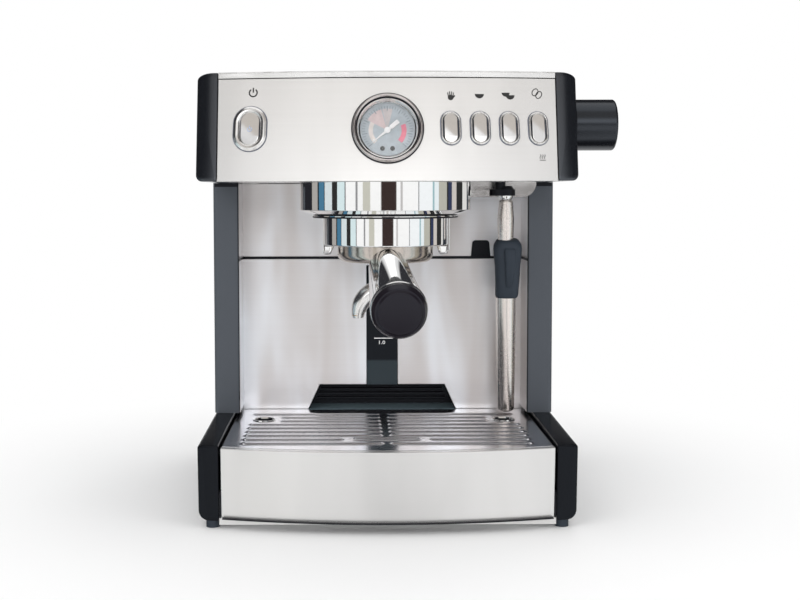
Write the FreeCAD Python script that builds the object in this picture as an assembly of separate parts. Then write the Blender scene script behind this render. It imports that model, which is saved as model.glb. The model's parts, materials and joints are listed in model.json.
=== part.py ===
import FreeCAD, Part
import math
import os

"""Espresso machine, millimetres, +Z up.

+X is to the right of a person facing the machine, and +Y runs from that person towards the back.
Shapes are drawn about the middle of the casing's base. As each sub-part is written to parts/, one
STEP file named after its node, it moves so that the origin is the middle of the underside of the
box around the whole machine, knob and handle included.
"""

# ------------------------------------------------------------------ casing
CASE_WIDTH = 310.0            # across the plastic side cheeks
CASE_DEPTH = 300.0            # front corners of the base to the rear panel
CHEEK_THICKNESS = 17.5        # side cheeks of the base and of the head
SHELL_WALL = 3.0              # moulded plastic shells
SHEET = 1.5                   # steel sheet
PANEL_GAP = 0.5               # shadow gap between a steel skin and a cheek

FOOT_HEIGHT = 10.0
FOOT_RADIUS = 5.7
FOOT_INSET = 15.0             # feet from the front and rear edges
BASE_HEIGHT = 62.0            # base cheeks, from their underside to the foot of the columns
BASE_FRONT_DROP = 2.5         # base cheeks fall by this much towards the front
BASE_LEAN = 4.5               # base front stands further forward at its top
COLUMN_HEIGHT = 211.2
COLUMN_SETBACK = 131.6        # column front behind the front corners of the base
COLUMN_INNER_LAP = 5.0        # column front reaches inside the cheek line by this much
SPLASH_SETBACK = 174.4        # splash panel behind the front corners of the base
HEAD_SETBACK = 5.0            # fascia's lower corners behind those of the base
FASCIA_HEIGHT = 83.0
FASCIA_LEAN = 18.2            # fascia's top stands this far behind its bottom
FASCIA_BOW = 12.8             # forward bow of the fascia at the middle
FASCIA_SHEET = 2.0
TOP_LIP_HEIGHT = 5.0
TOP_LIP_GAP = 0.8             # dark joint between fascia and top cover
CHEEK_TOP_RADIUS = 7.0
CHEEK_LOW_RADIUS = 8.0        # outer bottom edge of the base
CHEEK_FOOT_RADIUS = 5.5       # outer bottom edge of the head
CHEEK_FRONT_RADIUS = 3.5

# ------------------------------------------------------------------ drip tray
TRAY_BOW = 16.7
TRAY_SIDE_GAP = 1.8           # steel tray to base cheek
TRAY_TOP_DROP = 4.3           # drip grid below the foot of the columns
TRAY_RUN_GAP = 0.3            # running gap under and beside the tray
TRAY_WALL = 2.0
TRAY_REAR_GAP = 2.4
GRID_SHEET = 1.5
GRID_FLANGE = 6.0
RIB_PITCH = 16.0
RIB_COUNT = 10
RIB_WIDTH = 5.0
RIB_RISE = 0.8
RIB_OUTER = 119.0
RIB_INNER = 4.0
RIB_BACK_OFFSET = 26.4        # rearmost rib in front of the grid's back edge
HOLE_LENGTH = 19.0            # finger holes in the drip grid
HOLE_DEPTH = 11.0
HOLE_X = 108.5
HOLE_BACK_OFFSET = 51.0
HOLE_MARGIN = 6.5
EMBOSS_LENGTH = 60.0
EMBOSS_DEPTH = 12.0
EMBOSS_BACK_OFFSET = 138.4

# ------------------------------------------------------------------ splash panels
PANEL_SIDE_GAP = 1.8          # splash panel to the inner wall of a column
SPLIT_HEIGHT = 140.5          # joint between the two panels, above the foot of the columns
SPLIT_GAP = 2.4
NOTCH_X = 93.8
NOTCH_WIDTH = 18.5
NOTCH_TOP_WIDTH = 16.0
NOTCH_HEIGHT = 15.0
CUTOUT_TOP_WIDTH = 119.0
CUTOUT_FOOT_WIDTH = 140.6
CUTOUT_HEIGHT = 19.2          # trapezoid cut-out, above the foot of the columns
WINDOW_WIDTH = 29.4
WINDOW_TOP = 133.0            # above the foot of the columns
WINDOW_FIT = 0.2
WINDOW_LIP = 3.5
WINDOW_PROUD = 0.5
WINDOW_DEPTH = 5.4            # lip of the level window behind the panel
INSERT_DEPTH = 30.0           # recess behind the cut-out
INSERT_WALL = 2.0
INSERT_RIBS = 3

# ------------------------------------------------------------------ controls
CONTROL_HEIGHT = 42.2         # centres of gauge and buttons above the head's bottom edge
POWER_X = -110.5
BUTTON_FIRST_X = 50.6
BUTTON_PITCH = 23.7
POWER_RING = (28.1, 37.7)
POWER_CAP = (15.4, 27.0)
BUTTON_RING = (16.8, 28.2)
BUTTON_CAP = (11.0, 24.0)
CAP_FIT = 0.35
RING_RISE = 2.2
RING_RIM = 1.0
RING_SPIGOT = 6.0
RING_WALL = 1.0
CAP_RISE = 1.4
CAP_STEM_RADIUS = 2.5
BUTTON_TRAVEL = 2.0
SWITCH_FREE_PLAY = 0.4
SWITCH_SIDE = 11.0
CARRIER_SETBACK = 22.5
CARRIER_SHEET = 2.0
CARRIER_HEIGHT = 66.0

GAUGE_RADIUS = 29.4
GAUGE_CASE_RADIUS = 27.2
GAUGE_GLASS_RADIUS = 23.4
GAUGE_DEPTH = 27.0
GAUGE_RISE = 3.6
GLASS_THICKNESS = 1.5
DIAL_DEPTH = 8.0
DIAL_THICKNESS = 0.8
NEEDLE_LENGTH = 17.0
NEEDLE_TAIL = 11.5
NEEDLE_REST = 220.0           # degrees, from the dial's 3 o'clock, anticlockwise
ARBOR_RADIUS = 0.8
ARBOR_FIT = 0.08
BEARING_FRONT = 11.0          # bearing of the needle's arbor, behind the fascia's face
BEARING_REAR = 17.0

# ------------------------------------------------------------------ brewing group
GROUP_REACH = 104.4           # group's axis in front of the splash panels
SHROUD_RADIUS = 73.5
SHROUD_HEIGHT = 24.5
SHROUD_CHAMFER_IN = 11.8
SHROUD_CHAMFER_DROP = 5.0
SHROUD_WALL = 2.0
COLLAR_RADIUS = 53.7
COLLAR_HEIGHT = 24.2
COLLAR_BORE = 37.5
LUG_GROOVE_RADIUS = 42.4
LUG_GROOVE_LOW = 9.7          # bayonet groove above the collar's lower edge
LUG_GROOVE_HIGH = 16.5
EAR_DROP = 8.8
EAR_WIDTH = 16.0
GROUP_BODY_RADIUS = 46.0
SCREEN_RADIUS = 27.5

PORTAFILTER_RADIUS = 41.0
PORTAFILTER_HEIGHT = 14.3
PORTAFILTER_CORNER = 7.0
PORTAFILTER_WALL = 3.5
SPIGOT_RADIUS = 36.5
SPIGOT_HEIGHT = 17.8
LUG_REACH = 41.7
LUG_WIDTH = 16.0
LUG_HEIGHT = 5.6
LUG_FIT = 0.3
UNLOCK_ANGLE = 50.0
HANDLE_TURN = 1.5             # the handle rests a little to the right of straight ahead
BASKET_RADIUS = 29.5
BASKET_WALL = 0.8
BASKET_DEPTH = 24.0
BASKET_RIM = 35.2

HANDLE_ROOT = 46.0            # from the group's axis to the middle of the rounded root
HANDLE_ROOT_RADIUS = 16.2
HANDLE_END_RADIUS = 20.9
HANDLE_LENGTH = 131.4
HANDLE_SLOPE = 9.3            # degrees below level
HANDLE_DROP = 3.2             # root centre below the underside of the portafilter
CAP_RADIUS = 20.1
CAP_LENGTH = 12.0
CAP_FACE_RADIUS = 16.4

SPOUT_SPREAD = 23.5           # from the axis to the middle of each outlet
SPOUT_RADIUS = 6.6
SPOUT_BORE = 4.2
SPOUT_STEM_RADIUS = 8.0
SPOUT_DROP = 47.4             # underside of the portafilter to the outlets

# ------------------------------------------------------------------ steam
BALL_X = 109.4
BALL_REACH = 17.9             # ball in front of the columns
BALL_DROP = 11.2              # ball centre below the head
BALL_RADIUS = 6.8
BALL_FIT = 0.1
SOCKET_WIDTH = 23.5
SOCKET_DEPTH = 19.0
SOCKET_OFFSET = -3.4
SOCKET_LIP = 1.0              # the socket reaches this far below the ball's centre
SOCKET_HEIGHT = 5.6
SOCKET_ROOF = 0.9
STUB_RADIUS = 4.8
STUB_OFFSET = -5.2
NECK_LENGTH = 9.0
NECK_RADIUS = 3.6
WAND_TIP_X = 114.2
WAND_TIP_REACH = 29.4         # wand tip in front of the splash panels
WAND_TIP_GAP = 3.6            # tip above the drip grid
WAND_RADIUS = 6.6
GRIP_START = 40.7             # distances along the wand from the ball's centre
GRIP_END = 93.4
SLEEVE_TOP_RADIUS = 9.2
SLEEVE_TIP_RADIUS = 7.8
SLEEVE_LAP = 8.0
GRIP_RADIUS = 10.9
GRIP_BULGE_RADIUS = 13.2
GRIP_FIT = 0.05
APRON_LEFT = 78.0
APRON_RIGHT = 139.0
APRON_DROP = 13.4
APRON_GAP = 1.0               # apron in front of the column face

KNOB_RADIUS = 21.4
KNOB_LENGTH = 36.0
KNOB_SETBACK = 58.0           # knob axis behind the front corners of the base
KNOB_HEIGHT = 47.4            # knob axis above the head's bottom edge
KNOB_GAP = 1.5
SPINDLE_RADIUS = 4.0
SPINDLE_FIT = 0.08
SPINDLE_REACH = 18.0          # spindle into the valve
VALVE_LENGTH = 28.0
VALVE_DEPTH = 28.0
VALVE_HEIGHT = 24.0
VALVE_SETBACK = 12.0          # valve from the cheek

# ------------------------------------------------------------------ inside
POST_WIDTH = 20.0
TANK_HALF_WIDTH = 70.0
TANK_FRONT_GAP = 0.6
TANK_REAR_ROOM = 10.1         # tank to the outside of the rear panel
TANK_WALL = 2.5
TANK_FIT = 3.0                # around the tank in the top cover
TANK_LID_HEIGHT = 4.0
SHELF_HEIGHT = 58.0
LID_PIN_RADIUS = 1.2
LID_PIN_REACH = 3.0
LID_HINGE_FIT = 0.08
BOILER_RADIUS = 32.0
BOILER_HEIGHT = 62.0
STEAM_BOILER_LENGTH = 62.0
STEAM_BOILER_DEPTH = 56.0
STEAM_BOILER_HEIGHT = 34.0
STEAM_BOILER_GAP = 4.0        # beside the brew boiler
STEAM_BOILER_SETBACK = 22.0   # behind the group's axis
PORT_RADIUS = 5.0
PORT_HEIGHT = 10.0
PUMP_ROOM = 14.0              # pump to the tank and to the side wall
PUMP_LENGTH = 96.0
BOARD_LIFT = 70.0
BOARD_HEIGHT = 90.0
BOARD_PARTS = 22.0
PAN_FLANGE = 20.0
SCREW_RADIUS = 1.5
SCREW_HEAD_RADIUS = 3.0
SCREW_HEAD_HEIGHT = 1.6
SCREW_FIT = 0.15
GLAND_RADIUS = 7.0
GLAND_BORE = 3.6

# ------------------------------------------------------------------ worked out from the above
HALF_WIDTH = CASE_WIDTH / 2
CHEEK_IN = HALF_WIDTH - CHEEK_THICKNESS
FRONT_Y = -CASE_DEPTH / 2
REAR_Y = CASE_DEPTH / 2
BASE_TOP = FOOT_HEIGHT + BASE_HEIGHT
HEAD_BOTTOM = BASE_TOP + COLUMN_HEIGHT
FASCIA_TOP = HEAD_BOTTOM + FASCIA_HEIGHT
CASE_TOP = FASCIA_TOP + TOP_LIP_GAP + TOP_LIP_HEIGHT
COLUMN_Y = FRONT_Y + COLUMN_SETBACK
SPLASH_Y = FRONT_Y + SPLASH_SETBACK
SPLASH_BACK = SPLASH_Y + SHEET
FASCIA_Y = FRONT_Y + HEAD_SETBACK
COLUMN_WALL_IN = CHEEK_IN - SHEET
PANEL_HALF = COLUMN_WALL_IN - PANEL_SIDE_GAP
SPLIT_Z = BASE_TOP + SPLIT_HEIGHT
TRAY_HALF = CHEEK_IN - TRAY_SIDE_GAP
GRID_TOP = BASE_TOP - TRAY_TOP_DROP
GRID_LOW = GRID_TOP - GRID_SHEET
PAN_FLOOR = FOOT_HEIGHT - TRAY_RUN_GAP - 0.2
DECK_TOP = HEAD_BOTTOM + FASCIA_SHEET
SHROUD_LOW = HEAD_BOTTOM - SHROUD_HEIGHT - SHROUD_CHAMFER_DROP
COLLAR_LOW = SHROUD_LOW - COLLAR_HEIGHT
PORTAFILTER_TOP = COLLAR_LOW - LUG_FIT
PORTAFILTER_LOW = PORTAFILTER_TOP - PORTAFILTER_HEIGHT
SPIGOT_TOP = PORTAFILTER_TOP + SPIGOT_HEIGHT
CONTROL_Z = HEAD_BOTTOM + CONTROL_HEIGHT
BUTTON_XS = [BUTTON_FIRST_X + BUTTON_PITCH * index for index in range(4)]
BUTTON_NAMES = ["manual_button", "single_button", "double_button", "hot_water_button"]
SWITCH_TOP = -(RING_SPIGOT + 4 * BUTTON_TRAVEL + SWITCH_FREE_PLAY)
SHELF_TOP = SHELF_HEIGHT + SHEET
TANK_FRONT = SPLASH_BACK + WINDOW_DEPTH + TANK_FRONT_GAP
TANK_STEP = SPLASH_BACK + INSERT_DEPTH + TANK_FRONT_GAP
TANK_STEP_TOP = BASE_TOP + CUTOUT_HEIGHT + WINDOW_LIP + TANK_FRONT_GAP
TANK_REAR = REAR_Y - TANK_REAR_ROOM
PUMP_RADIUS = (COLUMN_WALL_IN - TANK_HALF_WIDTH) / 2 - PUMP_ROOM
PUMP_X = (COLUMN_WALL_IN + TANK_HALF_WIDTH) / 2
GROUP_Y = SPLASH_Y - GROUP_REACH
BALL_Y = COLUMN_Y - BALL_REACH
WAND_TIP_Y = SPLASH_Y - WAND_TIP_REACH
KNOB_Y = FRONT_Y + KNOB_SETBACK
KNOB_END = HALF_WIDTH + KNOB_GAP + KNOB_LENGTH
HANDLE_LEVEL = (HANDLE_LENGTH + CAP_LENGTH) * math.cos(math.radians(HANDLE_SLOPE))
HANDLE_TIP_Y = GROUP_Y - HANDLE_ROOT - HANDLE_LEVEL - CAP_FACE_RADIUS * math.sin(math.radians(HANDLE_SLOPE))
MIDDLE_X = (KNOB_END - HALF_WIDTH) / 2
MIDDLE_Y = (REAR_Y + SHELL_WALL + HANDLE_TIP_Y) / 2
DECK_REAR = SPLASH_BACK
BALL_Z = HEAD_BOTTOM - BALL_DROP
KNOB_Z = HEAD_BOTTOM + KNOB_HEIGHT
FASCIA_ARC = (FASCIA_Y, FASCIA_BOW, CHEEK_IN)
TRAY_ARC = (FRONT_Y, TRAY_BOW, TRAY_HALF)


# ------------------------------------------------------------------ shape helpers
def vec(x, y, z):
    return FreeCAD.Vector(x, y, z)


def box(x0, x1, y0, y1, z0, z1):
    """Upright box between two corners."""
    return Part.makeBox(x1 - x0, y1 - y0, z1 - z0, vec(x0, y0, z0))


def rod(radius, start, end):
    """Round bar between two points."""
    run = end - start
    return Part.makeCylinder(radius, run.Length, start, run)


def polygon(points):
    """Face inside a closed line through the points."""
    return Part.Face(Part.makePolygon(points + [points[0]]))


def side_profile(points, x0, x1):
    """Prism across X from a list of (y, z) points."""
    return polygon([vec(x0, y, z) for y, z in points]).extrude(vec(x1 - x0, 0, 0))


def front_profile(points, y0, y1):
    """Prism along Y from a list of (x, z) points."""
    return polygon([vec(x, y0, z) for x, z in points]).extrude(vec(0, y1 - y0, 0))


def turned(points, x=0.0, y=0.0):
    """Solid of revolution about an upright axis from a list of (radius, z) points."""
    face = polygon([vec(x + radius, y, z) for radius, z in points])
    return face.revolve(vec(x, y, 0), vec(0, 0, 1), 360)


def pill_wire(width, height, z):
    """Closed outline with straight sides and half-round ends, upright in the local XY plane."""
    radius = width / 2
    straight = height / 2 - radius
    low_right = vec(radius, -straight, z)
    high_right = vec(radius, straight, z)
    high_left = vec(-radius, straight, z)
    low_left = vec(-radius, -straight, z)
    return Part.Wire([
        Part.LineSegment(low_right, high_right).toShape(),
        Part.Arc(high_right, vec(0, straight + radius, z), high_left).toShape(),
        Part.LineSegment(high_left, low_left).toShape(),
        Part.Arc(low_left, vec(0, -straight - radius, z), low_right).toShape(),
    ])


def pill(width, height, z0, z1):
    return Part.Face(pill_wire(width, height, z0)).extrude(vec(0, 0, z1 - z0))


def flat_pill(length, depth, x, y, z0, z1):
    """Level prism with half-round ends, long way along X."""
    shape = pill(depth, length, z0, z1)
    shape.rotate(vec(0, 0, 0), vec(0, 0, 1), 90)
    shape.translate(vec(x, y, 0))
    return shape


def arc_y(arc, x):
    """Y at x of a front line that bows forward from corner_y by bow over a chord of 2 * half."""
    corner_y, bow, half = arc
    radius = (half ** 2 + bow ** 2) / (2 * bow)
    return corner_y - (math.sqrt(radius ** 2 - x ** 2) - (radius - bow))


def bowed_block(arc, half, rear_y, z0, z1, lean=0.0, setback=0.0):
    """Block whose front follows arc, moved back by setback, and whose top stands back by lean."""
    side_y = arc_y(arc, half) + setback
    middle_y = arc_y(arc, 0) + setback
    left = vec(-half, side_y, z0)
    right = vec(half, side_y, z0)
    rear_right = vec(half, rear_y, z0)
    rear_left = vec(-half, rear_y, z0)
    outline = Part.Wire([
        Part.Arc(left, vec(0, middle_y, z0), right).toShape(),
        Part.LineSegment(right, rear_right).toShape(),
        Part.LineSegment(rear_right, rear_left).toShape(),
        Part.LineSegment(rear_left, left).toShape(),
    ])
    return Part.Face(outline).extrude(vec(0, lean, z1 - z0))


def bowed_sheet(arc, half, thickness, z0, z1, lean=0.0, setback=0.0):
    """Curved sheet of one thickness, measured along Y."""
    depth = abs(lean) + arc[1] + 4 * thickness
    rear_y = arc[0] + setback + depth
    outer = bowed_block(arc, half, rear_y, z0, z1, lean, setback)
    inner = bowed_block(arc, half + 1, rear_y + 2 * thickness, z0, z1, lean, setback + thickness)
    return outer.cut(inner)


def fascia_lean_at(z):
    """How far the leaning fascia stands back at height z."""
    return (z - HEAD_BOTTOM) * FASCIA_LEAN / FASCIA_HEIGHT


def fascia_frame(x, z):
    """Placement on the fascia's outer face: local X right, local Y up the face, local Z outward."""
    corner_y, bow, half = FASCIA_ARC
    radius = (half ** 2 + bow ** 2) / (2 * bow)
    right = vec(1, x / math.sqrt(radius ** 2 - x ** 2), 0)
    right.normalize()
    slope = vec(0, FASCIA_LEAN, FASCIA_HEIGHT)
    outward = right.cross(slope)
    outward.normalize()
    up = outward.cross(right)
    origin = vec(x, arc_y(FASCIA_ARC, x) + fascia_lean_at(z), z)
    return FreeCAD.Placement(FreeCAD.Matrix(
        right.x, up.x, outward.x, origin.x,
        right.y, up.y, outward.y, origin.y,
        right.z, up.z, outward.z, origin.z,
        0, 0, 0, 1))


def placed(shape, frame):
    """Copy of shape carried from its own axes into frame."""
    moved = shape.copy()
    moved.Placement = frame.multiply(moved.Placement)
    return moved


def mirrored(shape):
    """Left-hand copy of a right-hand piece."""
    return shape.mirror(vec(0, 0, 0), vec(1, 0, 0))


def edges_where(shape, test):
    """Edges whose two ends both pass the test."""
    chosen = []
    for edge in shape.Edges:
        if all(test(vertex.Point) for vertex in edge.Vertexes):
            chosen.append(edge)
    return chosen


def near(value, target):
    return abs(value - target) < 0.01


def joined(shapes):
    """One solid from overlapping shapes."""
    return shapes[0].multiFuse(shapes[1:]).removeSplitter()


def save(node, shape):
    """Write one sub-part, moved to the origin in the middle of the machine's box."""
    shape.translated(vec(-MIDDLE_X, -MIDDLE_Y, 0)).exportStep("parts/" + node + ".step")


def save_pair(name, shape):
    """Write a right-hand piece and its mirror image."""
    save(name + "_right", shape)
    save(name + "_left", mirrored(shape))


# ------------------------------------------------------------------ casing
def make_feet():
    x = CHEEK_IN + FOOT_RADIUS + TRAY_RUN_GAP
    y = CASE_DEPTH / 2 - FOOT_INSET
    feet = []
    for side in (-1, 1):
        for end in (-1, 1):
            feet.append(rod(FOOT_RADIUS, vec(side * x, end * y, 0), vec(side * x, end * y, FOOT_HEIGHT)))
    save("feet", Part.makeCompound(feet))


def base_cheek_block(inset):
    """Outer form of a base cheek, drawn in by inset on every face but the inner one."""
    low = FOOT_HEIGHT + inset
    high = BASE_TOP - inset
    front_high = high - BASE_FRONT_DROP
    points = [
        (FRONT_Y + BASE_LEAN + inset, low),
        (FRONT_Y + inset, front_high),
        (COLUMN_Y - inset, high),
        (REAR_Y - inset, high),
        (REAR_Y - inset, low),
    ]
    outer_x = HALF_WIDTH - inset
    block = side_profile(points, CHEEK_IN, outer_x)
    bottom = edges_where(block, lambda p: near(p.z, low) and near(p.x, outer_x))
    block = block.makeFillet(CHEEK_LOW_RADIUS - inset, bottom)
    return block


def make_base_cheeks():
    shell = base_cheek_block(0).cut(base_cheek_block(SHELL_WALL))
    save_pair("base_cheek", shell)


def make_side_panels():
    """Column with its outer side wall: a channel, open towards the inside and the back."""
    front_in = CHEEK_IN - COLUMN_INNER_LAP
    face = box(front_in, HALF_WIDTH, COLUMN_Y, COLUMN_Y + SHELL_WALL, BASE_TOP, HEAD_BOTTOM)
    outer = box(HALF_WIDTH - SHELL_WALL, HALF_WIDTH, COLUMN_Y, REAR_Y, BASE_TOP, HEAD_BOTTOM)
    inner = box(COLUMN_WALL_IN, COLUMN_WALL_IN + SHELL_WALL, COLUMN_Y, SPLASH_BACK + POST_WIDTH,
                BASE_TOP, HEAD_BOTTOM)
    rear = box(CHEEK_IN, HALF_WIDTH, REAR_Y - SHELL_WALL, REAR_Y, BASE_TOP, HEAD_BOTTOM)
    panel = joined([face, outer, inner, rear])
    corner = edges_where(panel, lambda p: near(p.y, COLUMN_Y) and near(p.x, HALF_WIDTH))
    lip = edges_where(panel, lambda p: near(p.y, COLUMN_Y) and near(p.x, front_in))
    panel = panel.makeFillet(CHEEK_FRONT_RADIUS, corner)
    lip = edges_where(panel, lambda p: near(p.y, COLUMN_Y) and near(p.x, front_in))
    panel = panel.makeFillet(SHELL_WALL / 3, lip)
    save_pair("side_panel", panel)


def head_cheek_block(inset):
    """Outer form of a head cheek, drawn in by inset on every face but the inner one."""
    low = HEAD_BOTTOM + inset
    high = CASE_TOP - inset
    points = [
        (FASCIA_Y + fascia_lean_at(low) + inset, low),
        (FASCIA_Y + fascia_lean_at(high) + inset, high),
        (REAR_Y - inset, high),
        (REAR_Y - inset, low),
    ]
    outer_x = HALF_WIDTH - inset
    block = side_profile(points, CHEEK_IN, outer_x)
    top = edges_where(block, lambda p: near(p.z, high) and near(p.x, outer_x))
    block = block.makeFillet(CHEEK_TOP_RADIUS - inset, top)
    bottom = edges_where(block, lambda p: near(p.z, low) and near(p.x, outer_x))
    return block.makeFillet(CHEEK_FOOT_RADIUS - inset, bottom)


def make_head_cheeks():
    shell = head_cheek_block(0).cut(head_cheek_block(SHELL_WALL))
    spindle_hole = rod(SPINDLE_RADIUS + 1, vec(CHEEK_IN, KNOB_Y, KNOB_Z), vec(HALF_WIDTH + 1, KNOB_Y, KNOB_Z))
    save("head_cheek_right", shell.cut(spindle_hole))
    save("head_cheek_left", mirrored(shell))


def make_base_pan():
    """Steel floor between the cheeks, with side flanges up and a front flange down."""
    front_y = FRONT_Y + BASE_LEAN + SHEET
    floor = box(-CHEEK_IN, CHEEK_IN, front_y, REAR_Y - SHEET, PAN_FLOOR - SHEET, PAN_FLOOR)
    lip = box(-CHEEK_IN, CHEEK_IN, front_y, front_y + SHEET, PAN_FLOOR - FOOT_HEIGHT * 0.6, PAN_FLOOR)
    side = box(CHEEK_IN - SHEET, CHEEK_IN, front_y, REAR_Y - SHEET, PAN_FLOOR - SHEET, PAN_FLOOR + PAN_FLANGE)
    save("base_pan", joined([floor, lip, side, mirrored(side)]))


def post_section(x_out, y_out, x_in, y_in, z1):
    """Angle section: one leg along the side, one leg along the panel that it carries."""
    z0 = PAN_FLOOR
    low_x, high_x = sorted((x_out, x_in))
    low_y, high_y = sorted((y_out, y_in))
    whole = box(low_x, high_x, low_y, high_y, z0, z1)
    hollow_x0 = low_x if x_out > x_in else low_x + SHEET
    hollow_x1 = high_x - SHEET if x_out > x_in else high_x
    hollow_y0 = low_y + SHEET if y_out < y_in else low_y
    hollow_y1 = high_y if y_out < y_in else high_y - SHEET
    return whole.cut(box(hollow_x0, hollow_x1, hollow_y0, hollow_y1, z0, z1))


def screw_points():
    """Screws of the rear panel: into both rear posts, at three heights."""
    x = COLUMN_WALL_IN - POST_WIDTH / 2
    low = SHELF_TOP + POST_WIDTH
    high = HEAD_BOTTOM - POST_WIDTH
    points = []
    for side in (-1, 1):
        for z in (low, (low + high) / 2, high):
            points.append((side * x, z))
    return points


def screw_holes():
    radius = SCREW_RADIUS + SCREW_FIT
    holes = [rod(radius, vec(x, REAR_Y - POST_WIDTH / 2, z), vec(x, REAR_Y + 1, z)) for x, z in screw_points()]
    return Part.makeCompound(holes)


def make_corner_posts():
    """Two posts from the pan to the head deck, and two to the top cover."""
    side = COLUMN_WALL_IN
    rear = REAR_Y - SHEET
    front_post = post_section(side, SPLASH_BACK, side - POST_WIDTH, SPLASH_BACK + POST_WIDTH, HEAD_BOTTOM)
    rear_post = post_section(side, rear, side - POST_WIDTH, rear - POST_WIDTH, CASE_TOP - SHEET)
    posts = [front_post, rear_post, mirrored(front_post), mirrored(rear_post)]
    save("corner_posts", Part.makeCompound([post.cut(screw_holes()) for post in posts]))


def make_tank_shelf():
    half = COLUMN_WALL_IN - SHEET
    front = SPLASH_BACK + POST_WIDTH
    rear = REAR_Y - SHEET - POST_WIDTH
    shelf = box(-half, half, front, rear, SHELF_HEIGHT, SHELF_TOP)
    leg = box(-TANK_HALF_WIDTH, TANK_HALF_WIDTH, front, front + SHEET, PAN_FLOOR, SHELF_HEIGHT)
    rear_leg = box(-TANK_HALF_WIDTH, TANK_HALF_WIDTH, rear - SHEET, rear, PAN_FLOOR, SHELF_HEIGHT)
    save("tank_shelf", joined([shelf, leg, rear_leg]))


def make_rear_panel():
    panel = box(-CHEEK_IN, CHEEK_IN, REAR_Y - SHEET, REAR_Y, PAN_FLOOR - SHEET, CASE_TOP - SHEET)
    holes = [screw_holes(), gland_rod(GLAND_RADIUS)]
    for row in range(6):
        z = HEAD_BOTTOM - 40 - 8 * row
        holes.append(box(-50, 50, REAR_Y - 2 * SHEET, REAR_Y + SHEET, z, z + 3))
    save("rear_panel", panel.cut(Part.makeCompound(holes)))


def gland_rod(radius):
    """Round bar through the rear panel where the mains lead enters."""
    x = -(CHEEK_IN - POST_WIDTH * 2)
    z = PAN_FLOOR + POST_WIDTH
    return rod(radius, vec(x, REAR_Y - POST_WIDTH / 2, z), vec(x, REAR_Y + SHELL_WALL, z))


def make_mains_inlet():
    body = gland_rod(GLAND_RADIUS)
    x = body.BoundBox.Center.x
    z = body.BoundBox.Center.z
    flange = rod(GLAND_RADIUS + 2.5, vec(x, REAR_Y, z), vec(x, REAR_Y + SHELL_WALL, z))
    save("mains_inlet", joined([body, flange]).cut(gland_rod(GLAND_BORE)))


def make_casing_screws():
    screws = []
    for x, z in screw_points():
        shank = rod(SCREW_RADIUS, vec(x, REAR_Y - SHEET * 3, z), vec(x, REAR_Y, z))
        head = rod(SCREW_HEAD_RADIUS, vec(x, REAR_Y, z), vec(x, REAR_Y + SCREW_HEAD_HEIGHT, z))
        slot = box(x - 2, x + 2, REAR_Y + SCREW_HEAD_HEIGHT / 2, REAR_Y + 2 * SCREW_HEAD_HEIGHT, z - 0.4, z + 0.4)
        screws.append(shank.fuse(head).cut(slot))
    save("casing_screws", Part.makeCompound(screws))


def make_top_cover():
    """Flat steel top with a turned-down front lip and the opening for the water tank."""
    low = CASE_TOP - TOP_LIP_HEIGHT
    half = CHEEK_IN - PANEL_GAP
    lean = fascia_lean_at(low)
    plate = bowed_block(FASCIA_ARC, half, REAR_Y - SHEET, CASE_TOP - SHEET, CASE_TOP, 0, lean)
    lip = bowed_sheet(FASCIA_ARC, half, FASCIA_SHEET, low, CASE_TOP, 0, lean)
    opening = box(-TANK_HALF_WIDTH - TANK_FIT, TANK_HALF_WIDTH + TANK_FIT, TANK_FRONT - TANK_FIT,
                  TANK_REAR + TANK_FIT, low, CASE_TOP + 1)
    cover = joined([plate, lip]).cut(opening)
    front_edges = edges_where(cover, lambda p: near(p.z, CASE_TOP) and p.y < FASCIA_Y + lean + 1)
    long_edges = [edge for edge in front_edges if edge.Length > CHEEK_IN]
    save("top_cover", cover.makeFillet(FASCIA_SHEET * 0.7, long_edges))


def make_head_deck():
    """Floor of the head: carries the group, the boilers and the steam wand."""
    setback = FASCIA_SHEET + fascia_lean_at(DECK_TOP)
    deck = bowed_block(FASCIA_ARC, CHEEK_IN, DECK_REAR, HEAD_BOTTOM, DECK_TOP, 0, setback)
    neck = rod(BOILER_RADIUS / 2 + 1, vec(0, GROUP_Y, HEAD_BOTTOM - 1), vec(0, GROUP_Y, DECK_TOP + 1))
    save("head_deck", deck.cut(neck))


def make_front_fascia():
    half = CHEEK_IN - PANEL_GAP
    sheet = bowed_sheet(FASCIA_ARC, half, FASCIA_SHEET, HEAD_BOTTOM, FASCIA_TOP, FASCIA_LEAN)
    depth = 4 * FASCIA_SHEET
    holes = [placed(Part.makeCylinder(GAUGE_CASE_RADIUS + CAP_FIT, 2 * depth, vec(0, 0, -depth)),
                    fascia_frame(0, CONTROL_Z))]
    for x, cap in control_caps():
        width = cap[0] + 2 * (CAP_FIT + RING_WALL + CAP_FIT)
        height = cap[1] + 2 * (CAP_FIT + RING_WALL + CAP_FIT)
        holes.append(placed(pill(width, height, -depth, depth), fascia_frame(x, CONTROL_Z)))
    save("front_fascia", sheet.cut(Part.makeCompound(holes)))


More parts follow.
